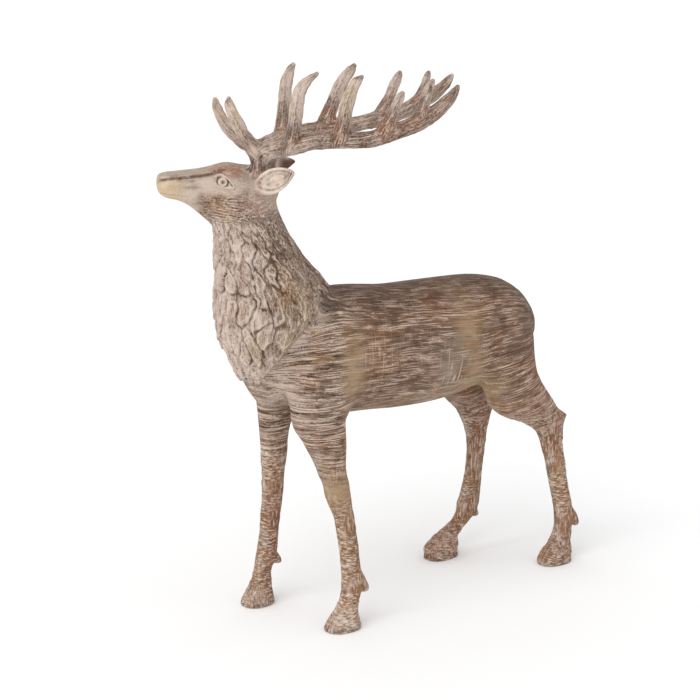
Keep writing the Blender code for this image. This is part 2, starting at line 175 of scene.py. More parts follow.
LEFT_HIND_LEG = (
    (520, 190, 42, 30, 66),
    (470, 193, 50, 38, 77),
    (420, 195, 57, 42, 73),
    (380, 212, 61, 40, 67),
    (345, 230, 64, 34, 75),
    (325, 247, 65, 31, 73),
    (310, 264, 66, 28, 66),
    (295, 295, 67, 26, 56),
    (276, 305, 68, 22, 35),
    (258, 311, 69, 20, 28),
    (236, 314, 70, 18, 24),
    (209, 321, 71, 17, 22),
    (167, 329, 73, 16, 20),
    (124, 340, 74, 16, 20),
    (100, 344, 75, 17, 20),
    (80, 345, 76, 17, 20),
    (60, 342, 77, 16, 18),
)
RIGHT_HIND_LEG = (
    (520, 190, -42, 30, 66),
    (470, 190, -50, 38, 76),
    (420, 190, -57, 42, 74),
    (380, 195, -62, 40, 67),
    (345, 205, -66, 34, 63),
    (318, 221, -69, 29, 54),
    (295, 235, -70, 26, 42),
    (272, 239, -72, 23, 32),
    (250, 241, -73, 19, 25),
    (229, 243, -74, 17, 22),
    (208, 243, -75, 16, 20),
    (165, 240, -77, 15, 19),
    (123, 234, -78, 16, 22),
    (100, 229, -79, 17, 25),
    (80, 225, -80, 17, 24),
    (62, 207, -80, 16, 20),
)

# Hooves: leg, middle of the sole (x, y), turn about Z in degrees, length and width of the sole, fullness
# of the pastern, how early it leans to the sole, reach of the dewclaws behind the leg and their tips' height.
HOOVES = (
    (LEFT_FORELEG, 109, -227, -4, 69, 54, 1.0, 1.0, 32, 60),
    (RIGHT_FORELEG, -88, -278, 4, 66, 52, 1.05, 1.0, 35, 71),
    (LEFT_HIND_LEG, 80, 319, -4, 74, 52, 1.18, 1.0, 33, 67),
    (RIGHT_HIND_LEG, -80, 160, 4, 75, 54, 1.42, 1.9, 42, 70),
)

# Antler beams in the head's axes: forward, out to the side, up, radius.
LEFT_BEAM = (
    (-13, 20, 20, 16),
    (-14, 26, 40, 15),
    (-16, 32, 58, 15.5),
    (-26, 40, 69, 15.5),
    (-45, 50, 76, 15),
    (-67, 62, 81, 15),
    (-96, 74, 90, 15),
    (-128, 84, 93, 15),
    (-171, 92, 94, 14),
    (-205, 95, 97, 14.5),
    (-248, 93, 110, 14.5),
    (-275, 88, 119, 14.5),
    (-302, 80, 132, 14),
    (-323, 74, 146, 12.5),
    (-338, 70, 160, 10),
    (-347, 67, 172, 7),
    (-352, 66, 181, 3),
)
RIGHT_BEAM = (
    (-24, -20, 18, 13),
    (-22, -26, 38, 13.5),
    (-18, -32, 53, 15.5),
    (-28, -40, 66, 15.5),
    (-49, -50, 74, 15.5),
    (-75, -62, 80, 15),
    (-107, -74, 87, 14.5),
    (-153, -84, 92, 14),
    (-195, -90, 96, 13),
    (-235, -93, 103, 14),
    (-280, -92, 114, 13),
    (-306, -88, 129, 13.5),
    (-335, -80, 146, 12.5),
    (-354, -74, 162, 9.5),
    (-365, -70, 176, 6.5),
    (-370, -69, 185, 2.5),
)

# Tines in the head's axes, root to tip: forward, left, up, radius.
LEFT_TINES = (
    (
        (-20, 31, 58, 15), (-7, 34, 72, 15), (12, 40, 97, 12.5),
        (27, 42, 127, 10.5), (36, 38, 150, 8.2), (37, 35, 165, 3),
    ),
    (
        (-62, 60, 74, 16), (-66, 64, 90, 15.5), (-70, 73, 115, 13.5),
        (-73, 78, 153, 12), (-84, 74, 184, 10), (-112, 66, 206, 3.5),
    ),
    (
        (-141, 88, 90, 17), (-146, 94, 110, 14.5), (-150, 99, 130, 12.6),
        (-155, 100, 157, 12), (-170, 90, 188, 9), (-185, 84, 201, 3.5),
    ),
    (
        (-217, 94, 102, 16), (-226, 98, 124, 12), (-233, 104, 143, 10.5),
        (-243, 106, 165, 8), (-250, 106, 176, 3),
    ),
    (
        (-281, 84, 120, 15), (-286, 86, 142, 11), (-291, 86, 160, 10),
        (-298, 82, 178, 8.5), (-306, 80, 193, 3),
    ),
)
RIGHT_TINES = (
    (
        (-28, -32, 62, 13), (-14, -35, 68, 13), (4, -38, 76, 13),
        (18, -42, 87, 12), (33, -44, 103, 11), (44, -44, 123, 9.4),
        (51, -42, 141, 7.6), (54, -40, 155, 3),
    ),
    (
        (-62, -60, 74, 16), (-67, -70, 98, 13), (-71, -79, 132, 12),
        (-75, -80, 168, 11), (-81, -76, 192, 9), (-89, -72, 208, 3.5),
    ),
    (
        (-140, -84, 88, 16), (-153, -92, 118, 13.3), (-161, -96, 136, 12.6),
        (-169, -98, 155, 12), (-180, -96, 175, 10.8), (-191, -90, 191, 8.8),
        (-199, -86, 203, 3.5),
    ),
    (
        (-236, -93, 98, 14), (-251, -100, 122, 11.2), (-262, -104, 138, 10.2),
        (-270, -106, 158, 9.6), (-279, -104, 178, 7.8), (-283, -102, 188, 3),
    ),
    (
        (-300, -90, 118, 12), (-313, -90, 141, 9), (-321, -90, 158, 8),
        (-327, -88, 176, 7), (-331, -86, 190, 3),
    ),
)
TINES = (*LEFT_TINES, *RIGHT_TINES)

# Ears in the head's axes: forward, out to the side, up; half width and half thickness.
LEFT_EAR = (
    (2, 36, 4, 9, 8),
    (-8, 47, 11, 14, 8),
    (-20, 60, 18, 20, 7.5),
    (-34, 73, 25, 21.5, 7),
    (-47, 84, 32, 18, 6),
    (-57, 91, 38, 12, 4.5),
    (-66, 96, 42, 4, 2),
)
RIGHT_EAR = (
    (-6, 36, 6, 10, 8),
    (-18, 48, 12, 14, 8),
    (-33, 60, 19, 19, 7.5),
    (-50, 72, 26, 20, 7),
    (-66, 83, 29, 15, 6),
    (-79, 90, 31, 11, 4.5),
    (-92, 96, 32, 3, 2),
)
EARS = ((LEFT_EAR, 1), (RIGHT_EAR, -1))

# Shoulders and haunches: centre, radii and lean about X in degrees.
MUSCLES = (
    ((58, -230, 458), (40, 68, 104), 8),
    ((-56, -232, 458), (40, 62, 104), 8),
    ((50, 189, 464), (46, 74, 98), -8),
    ((-50, 184, 464), (46, 74, 98), -8),
    ((44, -222, 530), (46, 74, 74), 0),
    ((-42, -222, 526), (46, 74, 72), 0),
)

# Tail, pressed to the rump: x, y, z, radius.
TAIL = (
    (0, 258, 530, 14),
    (0, 282, 519, 14),
    (0, 297, 496, 13),
    (0, 304, 470, 11),
    (0, 306, 452, 8),
    (0, 305, 441, 4),
)

# Mane: edge on the neck's sides as height against y, its top, and the slab-like locks that cover it: columns
# and rows of them, height of a row, width of the groove round a lock, rise, and how far the nape is eased.
MANE_EDGE = (
    (-352, 455), (-338, 495), (-316, 528), (-290, 556), (-262, 580), (-240, 625), (-185, 650),
)
MANE_TOP = 762
LOCK_COLUMNS = 26
LOCK_ROWS = 7
LOCK_DROP = 52
LOCK_GROOVE = 0.2
LOCK_RISE = 6.5
NAPE_EASE = 0.72


def spline(rows, spans):
    """Rows of numbers joined by a smooth curve through them, with spans new rows for each old one."""
    points = np.array(rows, float)
    ends = np.vstack([2 * points[0] - points[1], points, 2 * points[-1] - points[-2]])
    out = []
    for i in range(1, len(points)):
        a, b, c, d = ends[i - 1], ends[i], ends[i + 1], ends[i + 2]
        for t in np.linspace(0, 1, spans, endpoint=False):
            out.append(
                0.5
                * (
                    2 * b
                    + (c - a) * t
                    + (2 * a - 5 * b + 4 * c - d) * t**2
                    + (3 * b - a - 3 * c + d) * t**3
                )
            )
    out.append(points[-1])
    return np.array(out)


def ring(centre, side, rise, half_side, half_rise, power=2.0, sides=RING_SIDES):
    """A closed outline round centre: an ellipse at power 2, squarer above that."""
    points = []
    for k in range(sides):
        angle = 2 * math.pi * k / sides
        c, s = math.cos(angle), math.sin(angle)
        along_side = math.copysign(abs(c) ** (2 / power), c) * half_side
        along_rise = math.copysign(abs(s) ** (2 / power), s) * half_rise
        points.append(centre + side * along_side + rise * along_rise)
    return points


def skin(mesh, rings):
    """Bridges rings of equal count into one closed body with capped ends."""
    loops = [[mesh.verts.new(point) for point in points] for points in rings]
    count = len(loops[0])
    for low, high in zip(loops, loops[1:]):
        for k in range(count):
            n = (k + 1) % count
            mesh.faces.new((low[k], low[n], high[n], high[k]))
    mesh.faces.new(list(reversed(loops[0])))
    mesh.faces.new(loops[-1])


def tube(mesh, rows, place=None):
    """A round limb through rows of x, y, z, radius. place maps the rows' axes to the figurine's."""
    curve = spline(rows, RINGS_PER_SPAN)
    points = [Vector(row[:3]) for row in curve]
    if place:
        points = [place @ point for point in points]
    rings = []
    side = None
    for i, point in enumerate(points):
        ahead = points[min(i + 1, len(points) - 1)]
        behind = points[max(i - 1, 0)]
        along = (ahead - behind).normalized()
        guide = side if side else Vector((1, 0, 0)).cross(along)
        side = (guide - along * guide.dot(along)).normalized()
        rings.append(ring(point, side, along.cross(side), curve[i][3], curve[i][3], sides=TUBE_SIDES))
    skin(mesh, rings)


def head_axes():
    """The head's axes as a matrix: forward, left and up, with the head's pivot as origin."""
    axes = Matrix((Vector(FORWARD), Vector(LEFT), Vector((0, 0, 1)))).transposed().to_4x4()
    return Matrix.Translation(HEAD_PIVOT) @ axes


def torso(mesh):
    rings = []
    for y, z, half_width, half_height in spline(TORSO, RINGS_PER_SPAN):
        side, rise = Vector((1, 0, 0)), Vector((0, 0, 1))
        rings.append(ring(Vector((0, y, z)), side, rise, half_width, half_height, 2.3, BODY_SIDES))
    skin(mesh, rings)


def neck(mesh):
    rings = []
    for z, front, back, half_width in spline(NECK, RINGS_PER_SPAN):
        centre = Vector((0, (front + back) / 2, z))
        side, rise = Vector((1, 0, 0)), Vector((0, 1, 0))
        rings.append(ring(centre, side, rise, half_width, (back - front) / 2, 2.0, BODY_SIDES))
    skin(mesh, rings)


def head(mesh, place):
    rings = []
    for forward, top, bottom, half_width in spline(HEAD, RINGS_PER_SPAN):
        centre = Vector((forward, 0, (top + bottom) / 2))
        side, rise = Vector((0, 1, 0)), Vector((0, 0, 1))
        outline = ring(centre, side, rise, half_width, (top - bottom) / 2, 2.6)
        rings.append([place @ point for point in outline])
    skin(mesh, rings)


def ear_axes(place, hand):
    """The way an ear's open side faces, and the way across it."""
    out = (place.to_3x3() @ Vector((-0.55, hand * 0.8, 0.35))).normalized()
    facing = (place.to_3x3() @ Vector((0.55, hand * 0.62, 0.1))).normalized()
    return facing, out.cross(facing).normalized()


def ear(mesh, rows, place, hand):
    """A leaf-shaped ear that points out and back, its open side to the front and outside."""
    rings = []
    facing, width = ear_axes(place, hand)
    for forward, side, rise, half_width, half_thick in spline(rows, RINGS_PER_SPAN):
        centre = place @ Vector((forward, hand * side, rise))
        rings.append(ring(centre, width, facing, half_width, half_thick, sides=EAR_SIDES))
    skin(mesh, rings)


def leg(mesh, rows):
    rings = []
    for z, y, x, half_width, half_depth in spline(rows, RINGS_PER_SPAN):
        side, rise = Vector((1, 0, 0)), Vector((0, 1, 0))
        rings.append(ring(Vector((x, y, z)), side, rise, half_width, half_depth))
    skin(mesh, rings)


def hoof(mesh, rows, x, y, turn, length, width, full, lean, spur, spur_height):
    """Pastern and hoof, from the last station of the leg down past the ground, where the sole is cut."""
    z0, y0, x0, half_width, half_depth = rows[-1]

    def on_leg(rise):
        heights = [-row[0] for row in rows]
        return [float(np.interp(-z0 - rise, heights, [row[k] for row in rows])) for k in (2, 1)]

    def between(share):
        share = min(share * lean, 1.0)
        return x0 + (x - x0) * share, y0 + (y - y0) * share

    stations = (
        (z0 + 22, *on_leg(22), half_width, half_depth),
        (z0, x0, y0, half_width, half_depth),
        (z0 * 0.62, *between(0.4), width * 0.34, length * 0.28 * full),
        (z0 * 0.34, *between(0.75), width * 0.43, length * 0.385 * full),
        (6, x, y, width * 0.5, length * 0.485),
        (0, x, y, width * 0.5, length * 0.5),
        (-8, x, y, width * 0.46, length * 0.46),
    )
    heading = Matrix.Rotation(math.radians(turn), 3, "Z")
    rings = []
    for z, cx, cy, half_x, half_y in spline(stations, RINGS_PER_SPAN):
        centre = Vector((cx, cy, z))
        rings.append(ring(centre, heading.col[0], heading.col[1], half_x, half_y, 2.3))
    skin(mesh, rings)
    root_x, root_y = on_leg(60)
    for hand in (-1, 1):
        tube(
            mesh,
            (
                (root_x + hand * 3, root_y + 2, z0 + 60, 8),
                (x0 + hand * 6, y0 + spur * 0.34, spur_height + 30, 11),
                (x0 + hand * 7, y0 + spur * 0.62, spur_height + 12, 10.5),
                (x0 + hand * 8, y0 + spur * 0.86, spur_height + 4, 7.5),
                (x0 + hand * 8, y0 + spur, spur_height, 3),
            ),
        )


def antler(mesh, beam, tines, place):
    tube(mesh, beam, place)
    for tine in tines:
        tube(mesh, tine, place)


def muscle(mesh, centre, radii, lean):
    """A rounded mass, leaned about X by degrees: a shoulder or a haunch."""
    turn = Matrix.Rotation(math.radians(lean), 4, "X")
    shape = Matrix.Translation(centre) @ turn @ Matrix.Diagonal((*radii, 1))
    bmesh.ops.create_icosphere(mesh, subdivisions=3, radius=1, matrix=shape)


def masses():
    """The large forms that flow into each other: torso, neck, head, shoulders, haunches and legs."""
    mesh = bmesh.new()
    torso(mesh)
    neck(mesh)
    head(mesh, head_axes())
    for rows, *_ in HOOVES:
        leg(mesh, rows)
    for centre, radii, lean in MUSCLES:
        muscle(mesh, Vector(centre), radii, lean)
    bmesh.ops.scale(mesh, vec=(UNIT,) * 3, verts=mesh.verts)
    return mesh


def slender_forms(mesh):
    """Adds the forms that keep their own thickness: lower legs, hooves, tail, ears, eyes and antlers."""
    place = head_axes()
    first = len(mesh.verts)
    for rows, hand in EARS:
        ear(mesh, rows, place, hand)
    antler(mesh, LEFT_BEAM, LEFT_TINES, place)
    antler(mesh, RIGHT_BEAM, RIGHT_TINES, place)
    for rows, *hoof_sizes in HOOVES:
        leg(mesh, [row for row in rows if row[0] < LOWER_LEG_TOP])
        hoof(mesh, rows, *hoof_sizes)
    tube(mesh, TAIL)
    for hand in (-1, 1):
        eye = Vector((EYE_FORWARD, hand * EYE_SIDE, EYE_UP))
        muscle(mesh, place @ eye, (EYE_RADIUS,) * 3, 0)
    mesh.verts.ensure_lookup_table()
    bmesh.ops.scale(mesh, vec=(UNIT,) * 3, verts=mesh.verts[first:])


def fused(name, mesh, voxel, iterations):
    """Overlapping bodies of mesh made one, with the joins smoothed, as mesh data."""
    bmesh.ops.recalc_face_normals(mesh, faces=mesh.faces)
    rough = new_object(name, mesh)
    fuse = rough.modifiers.new("fuse", "REMESH")
    fuse.mode = "VOXEL"
    fuse.voxel_size = voxel
    blend = rough.modifiers.new("blend", "SMOOTH")
    blend.factor = 0.5
    blend.iterations = iterations
    data = evaluated(rough)
    bpy.data.objects.remove(rough)
    return data


def varied(row, column, spread):
    """A fixed number within spread either side of zero, different for each lock."""
    wave = math.sin(row * 12.9898 + column * 78.233) * SCATTER
    return (2 * (wave - math.floor(wave)) - 1) * spread


def neck_place(points):
    """Turn round the neck from its front, reach (1 on the smooth neck) and the neck's girth at each point."""
    level, front, back, half_width = spline(NECK, RINGS_PER_SPAN).T
    x, y, z = points.T
    centre = np.interp(z, level, (front + back) / 2)
    depth = np.interp(z, level, (back - front) / 2)
    width = np.interp(z, level, half_width)
    turn = np.arctan2(x / width, (centre - y) / depth)
    reach = np.hypot(x / width, (centre - y) / depth)
    return turn, reach, (width + depth) / 2


def lock_middle(row, column):
    """Where a lock lies: its turn round the neck, its height, and how far it is above the mane's edge."""
    aim = 2 * math.pi * (column + 0.5 * (row % 2) + varied(row, column + 50, 0.34)) / LOCK_COLUMNS
    z = MANE_TOP - LOCK_DROP * (row + 0.3 + varied(row, column, 0.4))
    level, front, back, _ = spline(NECK, RINGS_PER_SPAN).T
    depth = np.interp(z, level, (back - front) / 2)
    y = np.interp(z, level, (front + back) / 2) - math.cos(aim) * depth
    edge_y, edge_z = np.array(MANE_EDGE).T
    return aim, z, z - np.interp(y, edge_y, edge_z)


def mane_relief(points):
    """Height of the mane's locks above the smooth neck for each of the points, as an array.

    A lock is the cell of points nearest to its middle. It rises to its lower end, with a groove all round.
    """
    turn, reach, _ = neck_place(points)
    z = points[:, 2]
    index = np.nonzero((reach > 0.8) & (reach < 1.35) & (z > 430) & (z < MANE_TOP + 20))[0]
    turn, reach, z = turn[index], reach[index], z[index]
    bent = turn + 0.045 * np.sin(z / 19 + 5 * turn) + 0.02 * np.sin(z / 8 + 11 * turn)
    level = z + 7 * np.sin(6 * turn + z / 29)
    nearest = np.full(len(index), 9.0)
    second = nearest.copy()
    rise = np.zeros(len(index))
    for row in range(LOCK_ROWS):
        for column in range(LOCK_COLUMNS):
            aim, middle, above_edge = lock_middle(row, column)
            aside = ((bent - aim + math.pi) % (2 * math.pi) - math.pi) * LOCK_COLUMNS / (2 * math.pi)
            down = (middle - level) / LOCK_DROP
            aside = (aside + varied(column, row, 0.35) * down) * (1 + 0.55 * np.clip(down, -0.8, 0.8))
            distance = (np.abs(aside) ** 1.5 + np.abs(down) ** 1.5) ** (2 / 3)
            closer = distance < nearest
            second = np.where(closer, nearest, np.minimum(second, distance))
            nearest = np.where(closer, distance, nearest)
            lock = np.clip(0.5 + 0.75 * down, 0.1, 1) + varied(column + 3, row, 0.22)
            rise = np.where(closer, lock * (above_edge > 0), rise)
    apart = (second - nearest) / LOCK_GROOVE
    walls = np.clip(apart, 0, 1)
    rim = 0.2 * np.exp(-(((apart - 1.5) / 0.6) ** 2)) * (rise > 0)
    fade = np.clip((MANE_TOP - z) / 40, 0, 1) * np.clip((1.35 - reach) / 0.15, 0, 1)
    ease = NAPE_EASE * np.clip((np.abs(turn) - 1.15 - 0.0016 * (z - 560)) / 0.6, 0, 1)
    shape = rise * walls * walls * (3 - 2 * walls) + rim
    shape = shape * (1 - ease) + 0.55 * ease * (rise > 0)
    height = np.zeros(len(points))
    height[index] = shape * fade * (0.8 + 0.2 * np.cos(turn))
    return height * LOCK_RISE


def new_object(name, mesh):
    data = bpy.data.meshes.new(name)
    mesh.to_mesh(data)
    mesh.free()
    obj = bpy.data.objects.new(name, data)
    bpy.context.scene.collection.objects.link(obj)
    return obj


def evaluated(obj):
    """The object's mesh with its modifiers worked out."""
    bpy.context.view_layer.update()
    graph = bpy.context.evaluated_depsgraph_get()
    return bpy.data.meshes.new_from_object(obj.evaluated_get(graph))


def smoothstep(low, high, value):
    t = np.clip((value - low) / (high - low), 0, 1)
    return t * t * (3 - 2 * t)


def bump(distance, width):
    return np.exp(-((distance / width) ** 2))


def scrambled(cells):
    """A fixed number from 0 to 1 for each row of whole numbers."""
    mixed = np.sin(cells @ np.array((127.1, 311.7, 74.7))) * SCATTER
    return mixed - np.floor(mixed)


def grain(*columns):
    """Smooth value noise from 0 to 1 at each of the points in the columns, with cells one unit wide."""
    points = np.column_stack(columns)
    base = np.floor(points)
    t = points - base
    t = t * t * (3 - 2 * t)
    total = np.zeros(len(points))
    for corner in range(8):
        offset = np.array(((corner >> 0) & 1, (corner >> 1) & 1, (corner >> 2) & 1), float)
        weight = np.prod(np.where(offset > 0, t, 1 - t), axis=1)
        total += weight * scrambled(base + offset)
    return total


def head_place(points):
    """Coordinates forward, left and up of the head's pivot."""
    away = points - np.array(HEAD_PIVOT)
    return away @ FORWARD, away @ LEFT, away[:, 2]


def in_mane(points):
    """1 inside the mane, 0 outside, soft over a few units."""
    edge_y, edge_z = np.array(MANE_EDGE).T
    _, reach, _ = neck_place(points)
    above = points[:, 2] - np.interp(points[:, 1], edge_y, edge_z)
    below_head = smoothstep(MANE_TOP + 12, MANE_TOP - 30, points[:, 2])
    behind = smoothstep(1.5, 1.3, reach)
    return smoothstep(-6, 10, above) * below_head * behind


def along_tubes(points, tubes):
    """For points near round limbs: distance over radius, length along, turn round, and share of the way."""
    best = np.full(len(points), FAR_AWAY)
    length, around, share = np.zeros((3, len(points)))
    for rows in tubes:
        curve = spline(rows, 3)
        start = 0.0
        total = np.linalg.norm(np.diff(curve[:, :3], axis=0), axis=1).sum()
        for a, b in zip(curve, curve[1:]):
            step = b[:3] - a[:3]
            long = np.linalg.norm(step)
            near = np.abs(points - (a[:3] + b[:3]) / 2).max(1) < long + 40
            index = np.nonzero(near)[0]
            if len(index):
                away = points[index] - a[:3]
                t = np.clip(away @ step / long**2, 0, 1)
                out = away - t[:, None] * step
                radius = a[3] + (b[3] - a[3]) * t
                ratio = np.linalg.norm(out, axis=1) / np.maximum(radius, 4.0)
                closer = ratio < best[index]
                index, out, t, ratio = index[closer], out[closer], t[closer], ratio[closer]
                best[index] = ratio
                length[index] = start + t * long
                share[index] = (start + t * long) / total
                side = np.cross(step / long, (0.31, 0.9, 0.2))
                side /= np.linalg.norm(side)
                over = np.cross(step / long, side)
                around[index] = np.arctan2(out @ over, out @ side)
            start += long
    return best, length, around, share


def head_points(points):
    return np.column_stack(head_place(points))


def antler_fields(points):
    """Nearness to the antlers, flow coordinates along them, and how near to a tip."""
    local = head_points(points)
    picked = np.nonzero((local[:, 2] > 10) & (local[:, 0] < 75))[0]
    fields = np.zeros((4, len(points)))
    fields[0] = FAR_AWAY
    fields[:, picked] = along_tubes(local[picked], (LEFT_BEAM, RIGHT_BEAM, *TINES))
    return fields


def ear_fields(points, rows, hand):
    """Along the ear from 0 to 1, across from -1 to 1, out to the cup's rim at 1, which face, nearness."""
    place = head_axes()
    curve = spline(rows, RINGS_PER_SPAN)
    spine = np.array([place @ Vector((f, hand * s, u)) for f, s, u, *_ in curve])
    facing, width = [np.array(axis) for axis in ear_axes(place, hand)]
    nearest = np.full(len(points), FAR_AWAY)
    t, across, face = np.zeros((3, len(points)))
    for k, centre in enumerate(spine):
        away = points - centre
        distance = np.linalg.norm(away, axis=1)
        closer = distance < nearest
        nearest[closer] = distance[closer]
        t[closer] = k / (len(spine) - 1)
        across[closer] = away[closer] @ width / max(curve[k][3], 3.0)
        face[closer] = away[closer] @ facing
    inside = smoothstep(30, 24, nearest) * smoothstep(0.16, 0.3, t)
    cup = np.hypot(across / 0.95, (t - 0.58) / 0.42)
    return t, across, cup, face, inside


def mane_carving(points):
    """Locks, thin ribs over them, and the strands that run down them, deeper and longer at the nape."""
    turn, _, girth = neck_place(points)
    z = points[:, 2]
    behind = smoothstep(0.9, 1.7, np.abs(turn))
    around = np.column_stack((np.cos(turn), np.sin(turn))) * girth[:, None]
    bend = 9 * grain(around / 30.0, z / 50)[:, None]
    fine = grain((around + bend) / 4.5, z / 26) - 0.5
    coarse = grain((around + bend) / 9.0, z / 80 + 5) - 0.5
    crossing = grain((around + 2 * bend) / 16.0, z / 34 + 11)
    slanted = grain((around - 1.5 * bend) / 11.0, z / 46 + 31)
    upright, leaning = np.abs(crossing - 0.5), np.abs(slanted - 0.5)
    ribs = np.maximum(smoothstep(0.09, 0.0, upright), smoothstep(0.1, 0.0, leaning))
    ribs = ribs * (1 - 0.5 * behind)
    strands = (2.6 - 1.2 * behind) * fine + (1.4 + 2.6 * behind) * coarse + 1.9 * ribs
    jag = 6 * (np.column_stack([grain(points / 8.0 + k * 17) for k in range(3)]) - 0.5)
    return mane_relief(points + jag) * (1 - 0.15 * ribs) + in_mane(points) * strands


def head_outline(f):
    """Top, bottom and half width of the head at distances forward of its pivot."""
    rows = spline(HEAD, RINGS_PER_SPAN)[::-1]
    return [np.interp(f, rows[:, 0], rows[:, k]) for k in (1, 2, 3)]


def cheek_mask(f, u):
    """Where short strokes cross the cheek, under and behind the eye."""
    edge = 16 * (grain(f / 11, u / 9, f * 0) - 0.5)
    long = smoothstep(-4, 22, f + edge) * smoothstep(96, 72, f + edge)
    return long * smoothstep(6, -10, u + 0.1 * (f - 50) + edge) * smoothstep(-56, -40, u)


def lids(ef, eu):
    """Distances above the upper lid and the lower lid of the eye, large away from their ends."""
    upper = eu - 11 + 0.035 * (ef - 4) ** 2
    lower = eu + 9.5 - 0.05 * np.maximum(ef, 0) ** 2
    upper = np.where((ef < 13) & (ef > -20), upper, 99.0)
    return upper, np.where((ef < 14) & (ef > -20), lower, 99.0)


def face_carving(points):
    """Nose bridge edge, eyes with lids, mouth, nostrils, cheek and brow."""
    f, s, u = head_place(points)
    top, _, half = head_outline(f)
    side = np.abs(s)
    on_side = smoothstep(0.45, 0.7, side / half)
    on_head = smoothstep(-50, -30, f) * (u > -75) * (u < 56)
    total = np.zeros(len(points))
    # edge between the flat nose bridge and the cheeks
    bridge = smoothstep(36, 56, f) * smoothstep(162, 152, f)
    total -= 1.9 * bump(u - top + BRIDGE_EDGE, 2.4) * bridge * (side > half * 0.5)
    total -= 1.2 * bump(side, half * 0.5) * bridge * (u > top - 6)
    # brow ridge, and the crease that runs back from it
    total += 1.8 * bump(u - (34 + 0.02 * (f - 44)), 5) * bump(f - 42, 16) * on_side
    crease = u - (34 - (34 - f) * 0.32)
    total -= 1.2 * bump(crease, 2.0) * smoothstep(10, 16, f) * smoothstep(38, 30, f) * on_side
    # eye, with a ring round it and the pupil sunk
    ef, eu = f - EYE_FORWARD, u - EYE_UP
    r = np.hypot(ef, eu)
    eye = on_side * (r < 34)
    upper, lower = lids(ef, eu)
    total += eye * (1.6 * bump(r - 6.2, 1.5) - 1.8 * bump(r, 2.6) - 1.2 * bump(r - 9.4, 1.2))
    total += eye * (2.2 * bump(upper, 1.6) + 1.6 * bump(lower, 1.5))
    total -= eye * 0.9 * bump(upper + 3.4, 1.3) * (ef < 2)
    total += eye * 0.9 * bump(upper - 5.0, 1.3) * smoothstep(-2, -10, ef)
    # mouth line and nostrils
    mouth = -1.5 - (150 - f) * 0.13
    total -= 1.3 * bump(u - mouth, 1.6) * smoothstep(98, 110, f) * on_side * on_head
    total -= 1.2 * bump(np.hypot(f - 150, (u - 20) * 0.8), 4) * smoothstep(0.5, 0.8, side / half)
    # creases before the eye and along the lip
    total -= 1.0 * bump(u - (21 - 0.15 * (f - 101)), 1.6) * bump(f - 101, 6) * on_side
    total -= 1.0 * bump(u - (10 - 0.04 * (f - 102)), 1.8) * bump(f - 102, 14) * on_side
    # carved drop on the cheek, and strokes across the cheek
    cf, cu = f - 34, u + 15
    drop = np.hypot(cf / 15, cu / (11 - 0.22 * cf))
    total += on_side * (1.1 * bump(drop - 1, 0.14) - 0.8 * bump(drop - 0.72, 0.13))
    bends = 5 * grain(f / 22, u / 30, s * 0)
    total += cheek_mask(f, u) * on_side * 0.8 * np.cos(u * 1.3 - f * 0.1 + 1.6 * bends)
    return total * on_head


def ear_carving(points):
    total = np.zeros(len(points))
    for rows, hand in EARS:
        _, _, q, face, inside = ear_fields(points, rows, hand)
        front = inside * smoothstep(-1.5, 1.5, face)
        total += front * (-3.6 * smoothstep(1.0, 0.5, q) + 1.4 * bump(q - 0.98, 0.12))
        total += front * (0.8 * bump(q - 0.62, 0.08) + 0.5 * bump(q - 0.34, 0.08))
    return total


def antler_carving(points):
    best, length, around, share = antler_fields(points)
    on = smoothstep(1.7, 1.2, best)
    circle = np.column_stack((np.cos(around), np.sin(around)))
    roots = tine_roots(points, 24)
    grooves = grain(circle * 2.6, length / 26) - 0.5
    fine = grain(circle * 5.2, length / 14 + 9) - 0.5
    pits = grain(head_points(points) / 6.0) - 0.5
    along = (2.2 * grooves + 1.4 * fine) * (1 - roots) * smoothstep(1.0, 0.9, share)
    return on * (along + 1.3 * pits + 1.4 * roots)


def tine_roots(points, width):
    """1 where a tine leaves its beam or an antler the head, 0 away from there."""
    local = head_points(points)
    roots = np.zeros(len(points))
    near = np.nonzero(points[:, 2] > 790)[0]
    for tine in (*TINES, LEFT_BEAM, RIGHT_BEAM):
        middle = (np.array(tine[0][:3]) + np.array(tine[1][:3])) / 2
        away = np.linalg.norm(local[near] - middle, axis=1)
        roots[near] = np.maximum(roots[near], bump(away, width))
    return roots


def leg_fields(points):
    """Share of lower leg and of hoof at each point, place along and across the hoof, and place on the leg
    from 1 in front to -1 behind."""
    x, y, z = points.T
    leg = smoothstep(350, 270, z)
    hoof, toe, across, fore = np.zeros((4, len(points)))
    nearest = np.full(len(points), FAR_AWAY)
    for rows, hx, hy, _, length, width, *_ in HOOVES:
        near = (np.abs(x - hx) < width) & (np.abs(y - hy) < length)
        hoof = np.where(near, smoothstep(46, 34, z - 0.12 * (y - hy)), hoof)
        toe = np.where(near, (hy - y) / (length / 2), toe)
        across = np.where(near, x - hx, across)
        heights, cy, cx, _, half_depth = spline(rows, 2)[::-1].T
        cx, cy, half = [np.interp(z, heights, values) for values in (cx, cy, half_depth)]
        away = np.hypot(x - cx, y - cy)
        fore = np.where(away < nearest, (cy - y) / half, fore)
        nearest = np.minimum(nearest, away)
    return leg, hoof, toe, across, np.clip(fore, -1, 1)


def leg_carving(points):
    leg, hoof, toe, across, _ = leg_fields(points)
    x, y, z = points.T
    rim = bump(hoof - 0.5, 0.25) * 0.9 * leg
    cleft = hoof * bump(across, 2.0) * smoothstep(0.1, 0.5, toe) * 1.8
    ledges = hoof * 0.8 * (grain(x / 22, y / 22, z / 6) - 0.5)
    pits = leg * (grain(points / 9.0) - 0.5) * 1.3
    cords = leg * (grain(x / 8, y / 8, z / 50) - 0.5) * 1.8 * (1 - hoof)
    return rim - cleft + ledges + pits + cords


